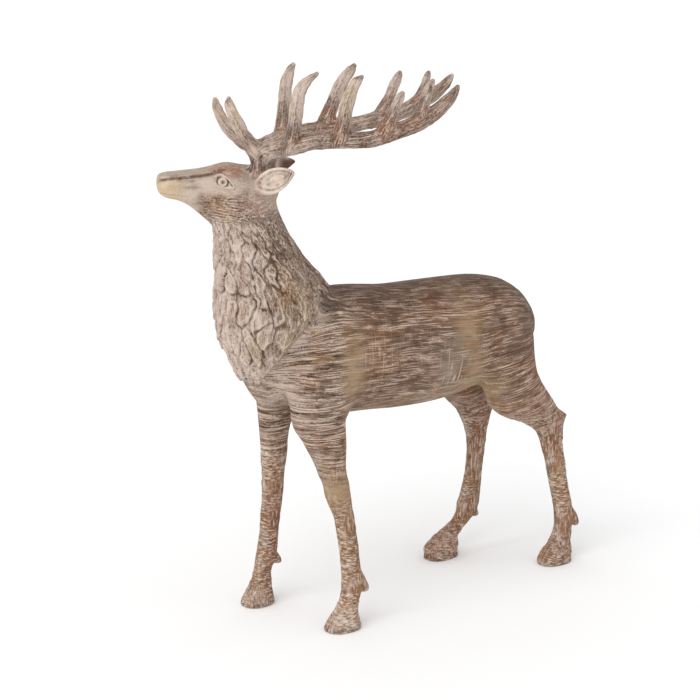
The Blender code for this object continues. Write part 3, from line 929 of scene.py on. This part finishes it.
def body_carving(points):
    """Long shallow gouges along the body, and a few folds where the limbs meet it."""
    x, y, z = points.T
    on_body = smoothstep(340, 400, z) * (1 - in_mane(points)) * smoothstep(-345, -320, y)
    gouges = grain(x / 11, y / 95, (z + 0.05 * y) / 11) - 0.5
    flank = bump(np.hypot((y - 112) / 40, (z - 400) / 55), 1.0)
    elbow = bump(np.hypot((y + 165) / 26, (z - 395) / 60), 1.0)
    blade = bump((y + 150 + 0.25 * (z - 500)) / 16, 1.0)
    blade = blade * smoothstep(400, 430, z) * smoothstep(590, 560, z)
    return on_body * (1.3 * gouges - 3.0 * flank - 2.5 * elbow - 1.6 * blade)


def carving(points):
    return (
        mane_carving(points)
        + face_carving(points)
        + ear_carving(points)
        + antler_carving(points)
        + leg_carving(points)
        + body_carving(points)
    )


def coordinates(data, key="co"):
    values = np.empty(len(data.vertices) * 3, np.float32)
    data.vertices.foreach_get(key, values)
    return values.reshape(-1, 3).astype(float)


def set_coordinates(data, points):
    data.vertices.foreach_set("co", points.astype(np.float32).ravel())
    data.update()


def neighbour_mean(data, count):
    """A function that gives the mean of each point's neighbours for rows of values."""
    edges = np.empty(len(data.edges) * 2, np.int32)
    data.edges.foreach_get("vertices", edges)
    a, b = edges.reshape(-1, 2).T
    degree = np.maximum(np.bincount(a, minlength=count) + np.bincount(b, minlength=count), 1)

    def mean(values):
        sums = [np.bincount(a, row[b], count) + np.bincount(b, row[a], count) for row in values.T]
        return np.column_stack(sums) / degree[:, None]

    return mean


def carved_skin():
    """The figurine's whole surface at the carving's fineness, as mesh data in the row's frame."""
    mesh = bmesh.new()
    mesh.from_mesh(fused("masses", masses(), COARSE_VOXEL, MASS_SMOOTHING))
    slender_forms(mesh)
    data = fused("stag_forms", mesh, FINE_VOXEL, SMOOTHING)
    points = coordinates(data)
    mean = neighbour_mean(data, len(points))
    web = tine_roots(points / UNIT, 26)[:, None]
    for _ in range(ROOT_EASING):
        points += (mean(points) - points) * web * 0.9
    set_coordinates(data, points)
    normals = coordinates(data, "normal")
    points += normals * (carving(points / UNIT) * UNIT)[:, None]
    low = points[:, 2] < GROUND * UNIT
    points[low, 2] = GROUND * UNIT
    set_coordinates(data, points)
    store(data, "depth", "FLOAT", relief_of(data, points), "value")
    rough = bpy.data.objects.new("rough_skin", data)
    bpy.context.scene.collection.objects.link(rough)
    thin = rough.modifiers.new("fewer_faces", "DECIMATE")
    triangles = sum(len(face.vertices) - 2 for face in data.polygons)
    thin.ratio = min(1.0, MOST_SKIN_TRIANGLES / triangles)
    skin_data = evaluated(rough)
    bpy.data.objects.remove(rough)
    return skin_data


def linear(red, green, blue):
    """Linear colour of an sRGB one given in 0 to 255."""
    values = np.array((red, green, blue)) / 255.0
    return np.where(values <= 0.04045, values / 12.92, ((values + 0.055) / 1.055) ** 2.4)


BARK = linear(84, 60, 45)
BROWN = linear(103, 74, 56)
TAN = linear(160, 135, 104)
GOLD = linear(150, 108, 66)
RUST = linear(138, 84, 54)
OLIVE = linear(158, 136, 92)
GREY = linear(150, 134, 120)
PINK = linear(176, 154, 140)
PALE = linear(200, 182, 166)
WASH = linear(220, 202, 187)
CREAM = linear(194, 172, 142)
MUZZLE = linear(200, 174, 138)
DARK = linear(60, 42, 33)
LINE = linear(204, 182, 165)
HIDE = linear(132, 99, 77)
BLUSH = linear(218, 198, 186)

# Patches of paint on the body and on the mane, the same on both sides: centre, radii, colour, strength.
# The first few are rubbed smooth.
SMOOTH_PATCHES = 5
BODY_PATCHES = (
    ((94, -188, 462), (60, 30, 80), TAN, 0.95),
    ((84, 80, 502), (60, 27, 66), TAN, 1.0),
    ((88, 40, 440), (60, 34, 40), GREY, 0.85),
    ((60, 128, 372), (50, 32, 30), OLIVE, 0.95),
    ((84, 104, 425), (60, 22, 50), TAN, 0.85),
    ((94, -132, 491), (60, 34, 40), GOLD, 0.5),
    ((83, 112, 524), (60, 26, 34), GOLD, 0.45),
    ((72, 25, 552), (60, 50, 26), RUST, 0.3),
    ((70, -262, 566), (60, 34, 34), PALE, 0.6),
    ((72, -304, 530), (50, 22, 40), PALE, 0.75),
    ((87, -275, 500), (50, 34, 14), GOLD, 0.75),
    ((87, -290, 465), (50, 30, 12), RUST, 0.6),
    ((50, -325, 445), (60, 30, 64), PALE, 0.85),
    ((78, -305, 405), (40, 26, 40), PINK, 0.7),
    ((90, -245, 420), (50, 30, 60), GREY, 0.4),
    ((90, 250, 380), (50, 30, 40), RUST, 0.3),
    ((60, -20, 380), (80, 160, 24), TAN, 0.6),
)
MANE_PATCHES = (
    ((60, -300, 720), (40, 30, 40), BROWN, 0.7),
    ((66, -338, 672), (30, 24, 46), BARK, 0.8),
    ((74, -326, 640), (34, 30, 60), BARK, 0.8),
    ((78, -322, 630), (36, 20, 34), GOLD, 0.9),
    ((84, -290, 600), (30, 26, 50), OLIVE, 0.5),
    ((56, -368, 528), (26, 22, 32), OLIVE, 0.7),
    ((70, -318, 545), (26, 20, 30), OLIVE, 0.6),
    ((20, -365, 480), (50, 30, 46), PALE, 0.6),
    ((40, -398, 590), (24, 16, 20), GOLD, 0.5),
    ((30, -398, 650), (24, 24, 30), PINK, 0.6),
)


# Patches of paint on each side of the head: middle (forward, up), radii, colour, strength.
FACE_PATCHES = (
    (46, -42, 20, 10, RUST, 1.0),
    (24, -46, 20, 12, BARK, 0.6),
    (30, -44, 22, 6, OLIVE, 0.6),
    (58, -24, 20, 18, GOLD, 1.0),
    (20, -24, 14, 12, RUST, 0.6),
    (34, -14, 12, 8, PALE, 0.4),
    (46, 36, 22, 8, RUST, 1.0),
    (26, 34, 16, 9, RUST, 0.8),
    (12, 28, 18, 8, GREY, 0.8),
    (-6, -30, 22, 22, HIDE, 0.5),
    (84, -14, 18, 8, HIDE, 0.4),
    (126, 25, 18, 5, GOLD, 0.6),
    (70, -34, 20, 10, HIDE, 0.6),
    (102, 10, 13, 3, BARK, 0.6),
    (101, 21, 5, 2, BARK, 0.6),
    (96, 26, 26, 3, PINK, 0.5),
)

# Middles of the cross scratches on each flank, and the radii of each.
SCRATCHES = ((94, -132, 485), (88, 40, 440), (84, 60, 420))
SCRATCH_REACH = (60, 30, 36)


def mixed(tone, *layers):
    """The tone with layers laid over it in turn, each a colour and how much of it shows."""
    for colour, amount in layers:
        tone = tone + (colour - tone) * np.clip(amount, 0, 1)[:, None]
    return tone


def folded(points):
    """The points with the right side mirrored onto the left."""
    return np.column_stack((np.abs(points[:, 0]), points[:, 1:]))


def blob(points, centre, radii):
    """1 at the centre, fading past the radii."""
    return bump(np.linalg.norm((points - np.array(centre)) / np.array(radii), axis=1), 1.0)


def patched(tone, points, patches):
    near_side = folded(points)
    for centre, radii, colour, strength in patches:
        tone = mixed(tone, (colour, strength * blob(near_side, centre, radii)))
    return tone


def relief_of(data, metres):
    """How far each point stands out of its surroundings (above 0.5) or lies in them (below)."""
    mean = neighbour_mean(data, len(metres))
    normals = coordinates(data, "normal")
    broad = np.maximum(in_mane(metres / UNIT), 0.25)
    smooth = metres.copy()
    total = np.full(len(metres), 0.5)
    for rounds, reach, share in ((RELIEF_ROUNDS[0], 3.0, 1.0), (RELIEF_ROUNDS[1], 8.0, broad)):
        for _ in range(rounds):
            smooth = mean(smooth)
        total += share * ((metres - smooth) * normals).sum(1) / UNIT / reach
    return np.clip(total, 0, 1)


def body_paint(points, slow, slower):
    _, y, z = points.T
    tone = mixed(
        BROWN,
        (BARK, 0.5 * smoothstep(0.5, 0.3, slow)),
        (RUST, 0.4 * smoothstep(0.6, 0.8, slow)),
        (TAN, 0.3 * smoothstep(0.55, 0.75, slower)),
        (HIDE, 0.4 * smoothstep(590, 540, z)),
        # Darker along the back, and darker over the rear of the haunches and the rump as painted shade, away
        # from the light in front.
        (BARK, 0.95 * smoothstep(530, 600, z)),
        (BARK, 0.7 * smoothstep(170, 260, y) * smoothstep(400, 450, z)),
    )
    return patched(tone, points, BODY_PATCHES)


def knee_of(points):
    """Where the near foreleg is rubbed smooth below its elbow."""
    x, y, z = points.T
    return bump(np.hypot((z - 262) / 42, (x - 97) / 40), 1.0) * (y < 0)


def leg_paint(points, slow, hoof, fore):
    """Pale in front and brown behind, as painted highlight and painted shade, a little darker on the far legs
    as painted shade, with golden and rusty patches.
    """
    x, y, z = points.T
    patches = grain(points / np.array((18, 18, 34)) + 3)
    smudges = grain(points / np.array((9, 9, 16)) + 8)
    far = smoothstep(20, -20, x)
    return mixed(
        HIDE,
        # Painted light: paler towards the front of each leg and hoof as painted highlight, brown and dark
        # towards the back and a little darker on the far legs as painted shade.
        (BROWN, 0.7 * smoothstep(0.1, -0.6, fore)),
        (PALE, 0.6 * smoothstep(0.3, 0.9, fore) * smoothstep(0.3, 0.6, smudges)),
        (GOLD, 0.6 * smoothstep(0.5, 0.62, patches)),
        (RUST, 0.8 * smoothstep(0.52, 0.4, patches) * smoothstep(1.0, 0.3, fore)),
        (PINK, 0.6 * smoothstep(0.6, 0.8, smudges)),
        (TAN, 0.9 * knee_of(points)),
        (RUST, 0.5 * far * smoothstep(320, 160, z) * smoothstep(0.3, 0.6, slow)),
        (BARK, 0.1 * far),
        (PALE, 0.3 * hoof * smoothstep(0.1, 0.8, fore) * (y < 100)),
        (RUST, 0.6 * hoof * (y > 250) * smoothstep(0.25, 0.5, smudges)),
        (BARK, 0.6 * hoof * smoothstep(0.1, -0.4, fore)),
        (BARK, 0.6 * hoof * smoothstep(9, 2, z)),
    )


def mane_paint(points):
    ahead = np.cos(neck_place(points)[0])
    z = points[:, 2]
    front = smoothstep(-0.25, 0.8, ahead)
    mottled = grain(points / np.array((14, 14, 26)) + 5)
    blotches = grain(points / 24.0 + 9)
    # The mane is paler towards its front and darker towards its back, by its turn round the neck: painted
    # highlight in front and painted shade behind, over its blush and brown paint.
    tone = mixed(
        BARK,
        (BLUSH, 0.04 + 0.9 * front),
        (GREY, 0.3 * smoothstep(0.55, 0.75, mottled)),
        (BROWN, 0.6 * smoothstep(0.42, 0.28, mottled)),
        (BARK, 0.45 * smoothstep(0.9, 0.4, ahead) * smoothstep(0.45, 0.65, blotches)),
        (RUST, 0.3 * smoothstep(0.6, 0.75, grain(points / 12.0)) * (z > 560)),
        (PINK, 0.5 * smoothstep(640, 560, z) * (1 - front)),
    )
    return patched(tone, points, MANE_PATCHES)


def face_paint(points):
    f, s, u = head_place(points)
    top, _, half = head_outline(f)
    cheek = cheek_mask(f, u)
    throat = smoothstep(-30, -46, u) * smoothstep(92, 70, f)
    tone = mixed(
        PINK,
        (PALE, 0.75 * smoothstep(0, 40, f)),
        (GREY, 0.6 * smoothstep(top - 14, top - 4, u)),
        (GREY, 0.5 * bump(grain(points / 18.0) - 0.75, 0.2)),
        (BROWN, 0.85 * cheek),
        (BARK, 0.6 * cheek * smoothstep(0.45, 0.65, grain(points / 9.0 + 2))),
        (BROWN, 0.7 * throat),
    )
    for cf, cu, rf, ru, colour, amount in FACE_PATCHES:
        tone = mixed(tone, (colour, amount * bump(np.hypot((f - cf) / rf, (u - cu) / ru), 1.0)))
    edge = bump(u - top + BRIDGE_EDGE, 3.4) * smoothstep(36, 56, f) * smoothstep(162, 150, f)
    r = np.hypot(f - EYE_FORWARD, u - EYE_UP)
    upper, lower = lids(f - EYE_FORWARD, u - EYE_UP)
    sides = np.abs(s) > 25
    return mixed(
        tone,
        (MUZZLE, 0.85 * smoothstep(108, 136, f) * smoothstep(top - 8, top - 14, u)),
        (BARK, edge * (np.abs(s) > half * 0.5)),
        (GREY, 0.6 * sides * bump(r / 12, 1.0)),
        (BROWN, 0.7 * sides * (bump(r - 9.0, 1.5) + bump(upper + 3.0, 1.4))),
        (WASH, 0.9 * sides * (bump(r - 6.2, 1.7) + bump(upper, 1.8) + bump(lower, 1.6))),
        (DARK, 0.9 * bump(r, 3.4) * sides),
    )


def antler_paint(points, share, slow):
    """Brown beams, rusty where the tines leave them, and paler tines with dull tips."""
    local = head_points(points)
    away = np.full(len(points), FAR_AWAY)
    for tine in TINES:
        for station in tine[3:]:
            away = np.minimum(away, np.linalg.norm(local - np.array(station[:3]), axis=1))
    pale = np.maximum(smoothstep(52, 14, away), 0.6 * smoothstep(-250, -320, local[:, 0]))
    mottled = grain(local / np.array((13.0, 13.0, 20.0)))
    roots = tine_roots(points, 34)
    return mixed(
        BROWN,
        (PINK, 0.6 * smoothstep(0.45, 0.65, slow)),
        (BARK, 0.6 * smoothstep(0.5, 0.35, slow)),
        (BLUSH, 0.95 * pale * smoothstep(0.05, 0.3, mottled)),
        (CREAM, 0.7 * pale * smoothstep(0.5, 0.7, mottled)),
        (BARK, 0.7 * roots),
        (RUST, 0.9 * roots * smoothstep(0.3, 0.55, mottled)),
        (BLUSH, 0.8 * smoothstep(96, 70, local[:, 2]) * smoothstep(0.2, 0.45, mottled)),
        (HIDE, 0.7 * smoothstep(0.84, 0.93, share)),
        (BARK, 0.8 * smoothstep(0.9, 0.97, share)),
    )


def ear_paint(tone, points):
    for rows, hand in EARS:
        t, across, q, face, inside = ear_fields(points, rows, hand)
        cup = inside * smoothstep(-1, 1, face)
        rings = bump(q - 0.76, 0.08) + 0.6 * bump(q - 0.45, 0.08) + 0.5 * bump(across - 0.1, 0.1)
        worn = smoothstep(0.2, 0.55, grain(points / 6.0))
        tone = mixed(
            tone,
            (PALE, 0.95 * cup),
            (WASH, 0.6 * cup * smoothstep(0.4, 0.6, grain(points / 7.0))),
            (WASH, 0.9 * cup * smoothstep(0.84, 0.96, q)),
            (BROWN, 0.8 * cup * np.minimum(rings, 1) * worn),
            (BARK, 0.7 * inside * smoothstep(1, -1, face)),
            (RUST, inside * smoothstep(0.78, 0.9, t) * smoothstep(0.8, 1.0, q)),
            (RUST, 0.6 * inside * smoothstep(0.35, 0.2, t)),
        )
    return tone


def flow_of(points, normals, mane, head_part, antler, around, length):
    """Coordinates for the strokes: the first two across them and the third along them, in design units."""
    x, y, z = points.T
    under = smoothstep(0.4, 0.9, -normals[:, 2])
    level = np.where(z > 480, np.arctan2(np.maximum(z - 480, 0), np.abs(x)) * 100, z - 480)
    level = level - under * 0.9 * (90 - np.abs(x)) + 0.05 * y
    level = level - 0.22 * np.maximum(y - 120, 0) * smoothstep(540, 460, z)
    level = level + 9 * (grain(points / 60.0 + 3) - 0.5)
    flow = np.column_stack((level, np.sign(x) * 3, y))
    turn, _, girth = neck_place(points)
    f, _, u = head_place(points)
    choices = (
        (mane, (np.cos(turn) * girth, np.sin(turn) * girth, z)),
        (head_part, (u, x * 0.2, f)),
        (antler, (np.cos(around) * 13, np.sin(around) * 13, length)),
    )
    for mask, other in choices:
        flow = np.where(mask[:, None] > 0.5, np.column_stack(other), flow)
    return flow


def paint(data):
    """Stores the under-paint, the marks and the flow of the strokes on the skin's points."""
    normals = coordinates(data, "normal")
    points = coordinates(data) / UNIT
    _, y, z = points.T
    f, _, u = head_place(points)
    turn = neck_place(points)[0]
    mane = in_mane(points)
    best, length, around, share = antler_fields(points)
    antler = smoothstep(1.7, 1.3, best)
    leg, hoof, _, _, fore = leg_fields(points)
    head_part = smoothstep(-62, -40, f) * smoothstep(-64, -50, u) * (1 - antler) * (z > 735) * (1 - mane)
    slow = grain(points / 60.0)
    slower = grain(points / 120.0 + 7)

    tone = mixed(
        body_paint(points, slow, slower),
        (leg_paint(points, slow, hoof, fore), smoothstep(400, 300, z)),
        (mane_paint(points), mane),
        (face_paint(points), head_part),
        (antler_paint(points, share, slow), antler),
    )
    tone = ear_paint(tone, points)

    near_side = folded(points)
    smooth, scratched = np.zeros((2, len(points)))
    for centre, radii, _, strength in BODY_PATCHES[:SMOOTH_PATCHES]:
        smooth = np.maximum(smooth, strength * blob(near_side, centre, radii))
    for centre in SCRATCHES:
        scratched = np.maximum(scratched, blob(near_side, centre, SCRATCH_REACH))

    cheek = cheek_mask(f, u) * head_part
    jaw = head_part * smoothstep(50, 10, f) * smoothstep(20, -20, u)
    throat = smoothstep(-30, -48, u) * smoothstep(84, 70, f) * smoothstep(-60, -30, f) * (z > 720)
    body = (1 - mane) * (1 - antler) * (1 - head_part) * smoothstep(240, 310, z)
    streaks = np.clip(body * (1 - 0.72 * smooth) + 0.85 * mane + 0.9 * antler + 0.9 * cheek, 0, 1)
    scribble = 0.15 * leg + 0.3 * hoof + 0.5 * mane + 0.5 * antler
    scribble = scribble + 0.4 * head_part + 0.6 * throat + 0.5 * jaw
    rubbed = 1 - 0.85 * knee_of(points)
    scribble = np.clip(scribble, 0, 1) * rubbed
    upright = leg * (1 - antler) * rubbed

    # The back and the rear of the haunches, darkened in body_paint, the rear as painted shade.
    dim = smoothstep(530, 600, z) + 0.8 * smoothstep(160, 230, y) * smoothstep(400, 450, z)
    dim = np.clip(dim, 0, 1)
    contrast = 0.95 + body * (0.6 * smoothstep(-150, -230, y) - 0.45 * dim)
    contrast = contrast + 0.2 * antler + 0.15 * mane
    patch = np.clip(body + 0.7 * leg + 0.6 * mane + 0.3 * antler, 0, 1) * (1 - 0.6 * body * dim)
    depth = np.empty(len(points), np.float32)
    data.attributes["depth"].data.foreach_get("value", depth)
    # The mane's front gets more of the painted highlight on ridges, and its back more of the painted shade in
    # hollows.
    behind = mane * smoothstep(0.9, 1.6, np.abs(turn))
    front = mane * smoothstep(-0.1, 0.8, np.cos(turn))
    depth += 0.1 * front - 0.03 * mane - 0.18 * antler - 0.1 * leg - 0.12 * behind

    store(data, "tone", "FLOAT_COLOR", np.column_stack((tone, scratched)), "color")
    flow = flow_of(points, normals, mane, head_part, antler, around, length)
    store(data, "flow", "FLOAT_VECTOR", flow, "vector")
    store(data, "marks", "FLOAT_VECTOR", np.column_stack((streaks, scribble, upright)), "vector")
    store(data, "relief", "FLOAT_VECTOR", np.column_stack((depth, contrast, patch)), "vector")


def store(data, name, kind, values, key):
    attribute = data.attributes.new(name, kind, "POINT")
    attribute.data.foreach_set(key, np.ascontiguousarray(values, np.float32).ravel())


class Graph:
    """Short hands for building a node tree."""

    def __init__(self, material):
        self.nodes = material.node_tree.nodes
        self.links = material.node_tree.links

    def node(self, kind, **settings):
        made = self.nodes.new(kind)
        for key, value in settings.items():
            setattr(made, key, value)
        return made

    def feed(self, socket, value):
        if hasattr(value, "is_output"):
            self.links.new(value, socket)
        elif value is not None:
            socket.default_value = value

    def attribute(self, name, output="Vector"):
        return self.node("ShaderNodeAttribute", attribute_name=name).outputs[output]

    def parts(self, vector):
        made = self.node("ShaderNodeSeparateXYZ")
        self.feed(made.inputs[0], vector)
        return made.outputs

    def maths(self, operation, a, b=None):
        made = self.node("ShaderNodeMath", operation=operation)
        for socket, value in zip(made.inputs, (a, b)):
            self.feed(socket, value)
        return made.outputs[0]

    def times(self, first, *others):
        for other in others:
            first = self.maths("MULTIPLY", first, other)
        return first

    def plus(self, first, *others):
        for other in others:
            first = self.maths("ADD", first, other)
        return first

    def most(self, a, b):
        return self.maths("MAXIMUM", a, b)

    def stretch(self, vector, sizes):
        made = self.node("ShaderNodeVectorMath", operation="MULTIPLY")
        self.feed(made.inputs[0], vector)
        made.inputs[1].default_value = sizes
        return made.outputs[0]

    def turned(self, vector, angle, sizes):
        """The vector turned about its second axis, then stretched."""
        made = self.node("ShaderNodeMapping")
        self.feed(made.inputs["Vector"], vector)
        made.inputs["Rotation"].default_value = (0.0, angle, 0.0)
        return self.stretch(made.outputs[0], sizes)

    def near(self, value, level):
        """Distance of the value from the level."""
        return self.maths("ABSOLUTE", self.maths("SUBTRACT", value, level))

    def noise(self, vector, scale, detail=3.0, rough=0.55, warp=0.0):
        made = self.node("ShaderNodeTexNoise")
        self.feed(made.inputs["Vector"], vector)
        made.inputs["Scale"].default_value = scale
        made.inputs["Detail"].default_value = detail
        made.inputs["Roughness"].default_value = rough
        made.inputs["Distortion"].default_value = warp
        return made.outputs["Fac"]

    def ramp(self, value, low, high):
        made = self.node("ShaderNodeMapRange", interpolation_type="SMOOTHSTEP")
        self.feed(made.inputs["Value"], value)
        made.inputs["From Min"].default_value = low
        made.inputs["From Max"].default_value = high
        return made.outputs["Result"]

    def mix(self, amount, a, b):
        made = self.node("ShaderNodeMix", data_type="RGBA")
        self.feed(made.inputs[0], amount)
        self.feed(made.inputs[6], a)
        self.feed(made.inputs[7], b)
        return made.outputs[2]


def painted_resin():
    """Brown paint under a worn pale wash, with painted highlight on raised edges and painted shade in
    hollows: hairlines along the flow, streaks and specks on the legs.
    """
    material = bpy.data.materials.new("whitewashed_resin")
    material.use_nodes = True
    g = Graph(material)
    shader = g.nodes["Principled BSDF"]
    tone = g.attribute("tone", "Color")
    scratched = g.attribute("tone", "Alpha")
    streaks, scribble, upright = g.parts(g.attribute("marks"))
    depth, contrast, patch = g.parts(g.attribute("relief"))
    place = g.stretch(g.node("ShaderNodeTexCoord").outputs["Object"], (1 / UNIT,) * 3)
    flow = g.attribute("flow")

    hairs = g.noise(g.stretch(flow, (1.0, 1.0, 0.045)), 0.52, 1.0, 0.6)
    crossed = g.noise(g.turned(flow, 0.1, (1.0, 1.0, 0.07)), 0.5, 0.0)
    threads = g.noise(g.stretch(flow, (1.0, 1.0, 0.022)), 0.8, 0.0)
    strands = g.noise(g.stretch(flow, (1.0, 1.0, 0.1)), 0.1, 2.0, 0.6)
    gates = g.noise(g.stretch(flow, (1.0, 1.0, 0.4)), 0.07, 2.0, 0.6)
    cords = g.noise(g.stretch(place, (1.0, 1.0, 0.16)), 0.34, 2.0, 0.65)
    rungs = g.noise(g.stretch(place, (0.22, 0.22, 1.0)), 0.5, 1.0, 0.5, 0.5)
    upper = g.ramp(g.noise(place, 0.016, 0.0), 0.4, 0.56)
    cuts = g.noise(g.stretch(place, (0.2, 1.0, 0.05)), 0.3, 0.0)
    squiggles = g.noise(g.stretch(flow, (1.0, 1.0, 0.4)), 0.17, 1.0, 0.5, 0.6)
    specks = g.noise(place, 0.42, 2.0, 0.7)
    clouds = g.noise(place, 0.045, 3.0, 0.6)

    grit = g.noise(g.stretch(flow, (1.0, 1.0, 0.5)), 0.75, 1.0, 0.6)
    pale_lines = g.most(g.ramp(hairs, 0.6, 0.65), g.times(g.ramp(crossed, 0.61, 0.67), 0.8))
    dark_lines = g.most(g.ramp(hairs, 0.44, 0.37), g.times(g.ramp(crossed, 0.4, 0.33), 0.8))
    pale_lines = g.times(pale_lines, g.ramp(grit, 0.35, 0.6))
    pale_lines = g.most(pale_lines, g.times(g.ramp(threads, 0.62, 0.67), 0.9))
    dark_lines = g.most(dark_lines, g.times(g.ramp(threads, 0.38, 0.33), 0.8))
    dark_lines = g.times(dark_lines, g.ramp(grit, 0.68, 0.45))
    pale_hairs = g.times(pale_lines, streaks, contrast, g.ramp(gates, 0.3, 0.6))
    dark_hairs = g.times(dark_lines, streaks, contrast, g.ramp(gates, 0.72, 0.35))
    rings = g.times(g.ramp(g.near(squiggles, 0.5), 0.05, 0.015), scribble)

    runged = g.times(upright, upper)
    corded = g.times(upright, g.maths("SUBTRACT", 1.0, upper))
    places = g.noise(place, 0.035, 2.0)
    # From the relief: the pale wash on raised edges also stands for painted highlight, and the darkening in
    # hollows is painted shade.
    ridge_wash_and_highlight = g.times(g.ramp(depth, 0.58, 0.84), g.ramp(places, 0.62, 0.42))
    hollow_painted_shade = g.times(g.ramp(depth, 0.42, 0.08), g.ramp(places, 0.4, 0.6))

    colour = tone
    for amount, shade in (
        (g.times(g.ramp(clouds, 0.5, 0.68), patch, 0.4), GOLD),
        (g.times(g.ramp(clouds, 0.47, 0.34), patch, 0.25), GREY),
        (g.times(g.ramp(strands, 0.48, 0.34), streaks, 0.3), BARK),
        (g.times(g.ramp(strands, 0.54, 0.7), streaks, 0.12), PALE),
        (g.times(dark_hairs, 0.95), DARK),
        (pale_hairs, LINE),
        (g.times(g.ramp(cuts, 0.64, 0.72), scratched, 0.8), LINE),
        (g.times(g.ramp(rungs, 0.46, 0.38), runged, 0.7), BARK),
        (g.times(g.ramp(rungs, 0.55, 0.61), runged, 0.7), WASH),
        (g.times(g.ramp(cords, 0.47, 0.4), corded, 0.75), BARK),
        (g.times(g.ramp(cords, 0.55, 0.62), corded, 0.55), WASH),
        (g.times(g.ramp(specks, 0.44, 0.36), scribble, 0.6), BARK),
        (g.times(g.ramp(specks, 0.56, 0.64), scribble, 0.5), WASH),
        (g.times(rings, 0.7), WASH),
        # pale wash and painted highlight on ridges, painted shade in hollows
        (g.times(ridge_wash_and_highlight, 0.65), WASH),
        (g.times(hollow_painted_shade, 0.85), BARK),
    ):
        colour = g.mix(amount, colour, (*shade, 1))
    g.feed(shader.inputs["Base Color"], colour)
    shader.inputs["Roughness"].default_value = 0.75
    shader.inputs["Specular IOR Level"].default_value = 0.3

    lines = g.times(g.maths("SUBTRACT", hairs, g.times(dark_lines, 0.3)), streaks)
    leg_lines = g.plus(g.times(cords, corded, 0.8), g.times(rungs, runged, 0.8))
    pits = g.plus(g.times(specks, scribble, 0.5), leg_lines)
    relief = g.node("ShaderNodeBump")
    relief.inputs["Strength"].default_value = 0.6
    relief.inputs["Distance"].default_value = 0.0012
    g.feed(relief.inputs["Height"], g.plus(lines, g.plus(pits, g.times(rings, 0.4))))
    g.feed(shader.inputs["Normal"], relief.outputs["Normal"])
    return material


def build_deer():
    data = carved_skin()
    paint(data)
    points = coordinates(data)
    set_coordinates(data, points - np.array(SHIFT))
    data.name = "deer_skin"
    data.materials.clear()
    data.materials.append(painted_resin())
    data.polygons.foreach_set("use_smooth", [True] * len(data.polygons))
    deer = bpy.data.objects.new("deer_skin", data)
    bpy.context.scene.collection.objects.link(deer)
    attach(deer, "root")
    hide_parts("deer")
    return deer


def direction(azimuth, height):
    """Unit vector towards something at an azimuth from the front and a height above the horizon."""
    level = math.cos(height)
    return Vector((math.sin(azimuth) * level, -math.cos(azimuth) * level, math.sin(height)))


def floor_and_light():
    mesh = bmesh.new()
    bmesh.ops.create_grid(mesh, x_segments=1, y_segments=1, size=FLOOR_SIZE)
    floor = new_object("floor", mesh)
    material = bpy.data.materials.new("pale_floor")
    material.use_nodes = True
    shader = material.node_tree.nodes["Principled BSDF"]
    shader.inputs["Base Color"].default_value = (*(FLOOR_GREY,) * 3, 1)
    shader.inputs["Roughness"].default_value = 0.9
    floor.data.materials.append(material)
    world = bpy.data.worlds.new("studio")
    world.use_nodes = True
    background = world.node_tree.nodes["Background"]
    background.inputs["Color"].default_value = (1, 1, 1, 1)
    background.inputs["Strength"].default_value = SKY_STRENGTH
    bpy.context.scene.world = world
    sun = bpy.data.lights.new("window_light", "SUN")
    sun.energy = SUN_STRENGTH
    sun.angle = SUN_SPREAD
    lamp = bpy.data.objects.new("window_light", sun)
    lamp.rotation_euler = direction(SUN_AZIMUTH, SUN_HEIGHT).to_track_quat("Z", "Y").to_euler()
    bpy.context.scene.collection.objects.link(lamp)


def camera():
    right = Vector((math.cos(VIEW_AZIMUTH), math.sin(VIEW_AZIMUTH), 0))
    back = direction(VIEW_AZIMUTH, VIEW_ELEVATION)
    up = back.cross(right)
    data = bpy.data.cameras.new("camera")
    data.sensor_width = SENSOR
    data.lens = SENSOR * FOCAL_PIXELS / PICTURE_PIXELS
    data.clip_end = 100.0
    data.dof.use_dof = False
    made = bpy.data.objects.new("camera", data)
    turn = Matrix((right, up, back)).transposed().to_4x4()
    made.matrix_world = Matrix.Translation(CAMERA * UNIT - Vector(SHIFT)) @ turn
    bpy.context.scene.collection.objects.link(made)
    bpy.context.scene.camera = made


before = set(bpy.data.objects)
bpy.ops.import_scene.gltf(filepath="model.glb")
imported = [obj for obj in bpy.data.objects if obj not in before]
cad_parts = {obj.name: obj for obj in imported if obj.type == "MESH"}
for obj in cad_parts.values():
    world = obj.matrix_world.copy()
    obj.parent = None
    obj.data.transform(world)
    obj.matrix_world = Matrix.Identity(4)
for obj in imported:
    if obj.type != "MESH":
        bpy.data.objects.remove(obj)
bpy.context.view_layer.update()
build_deer()
floor_and_light()
camera()
bpy.context.scene.view_settings.view_transform = "Standard"
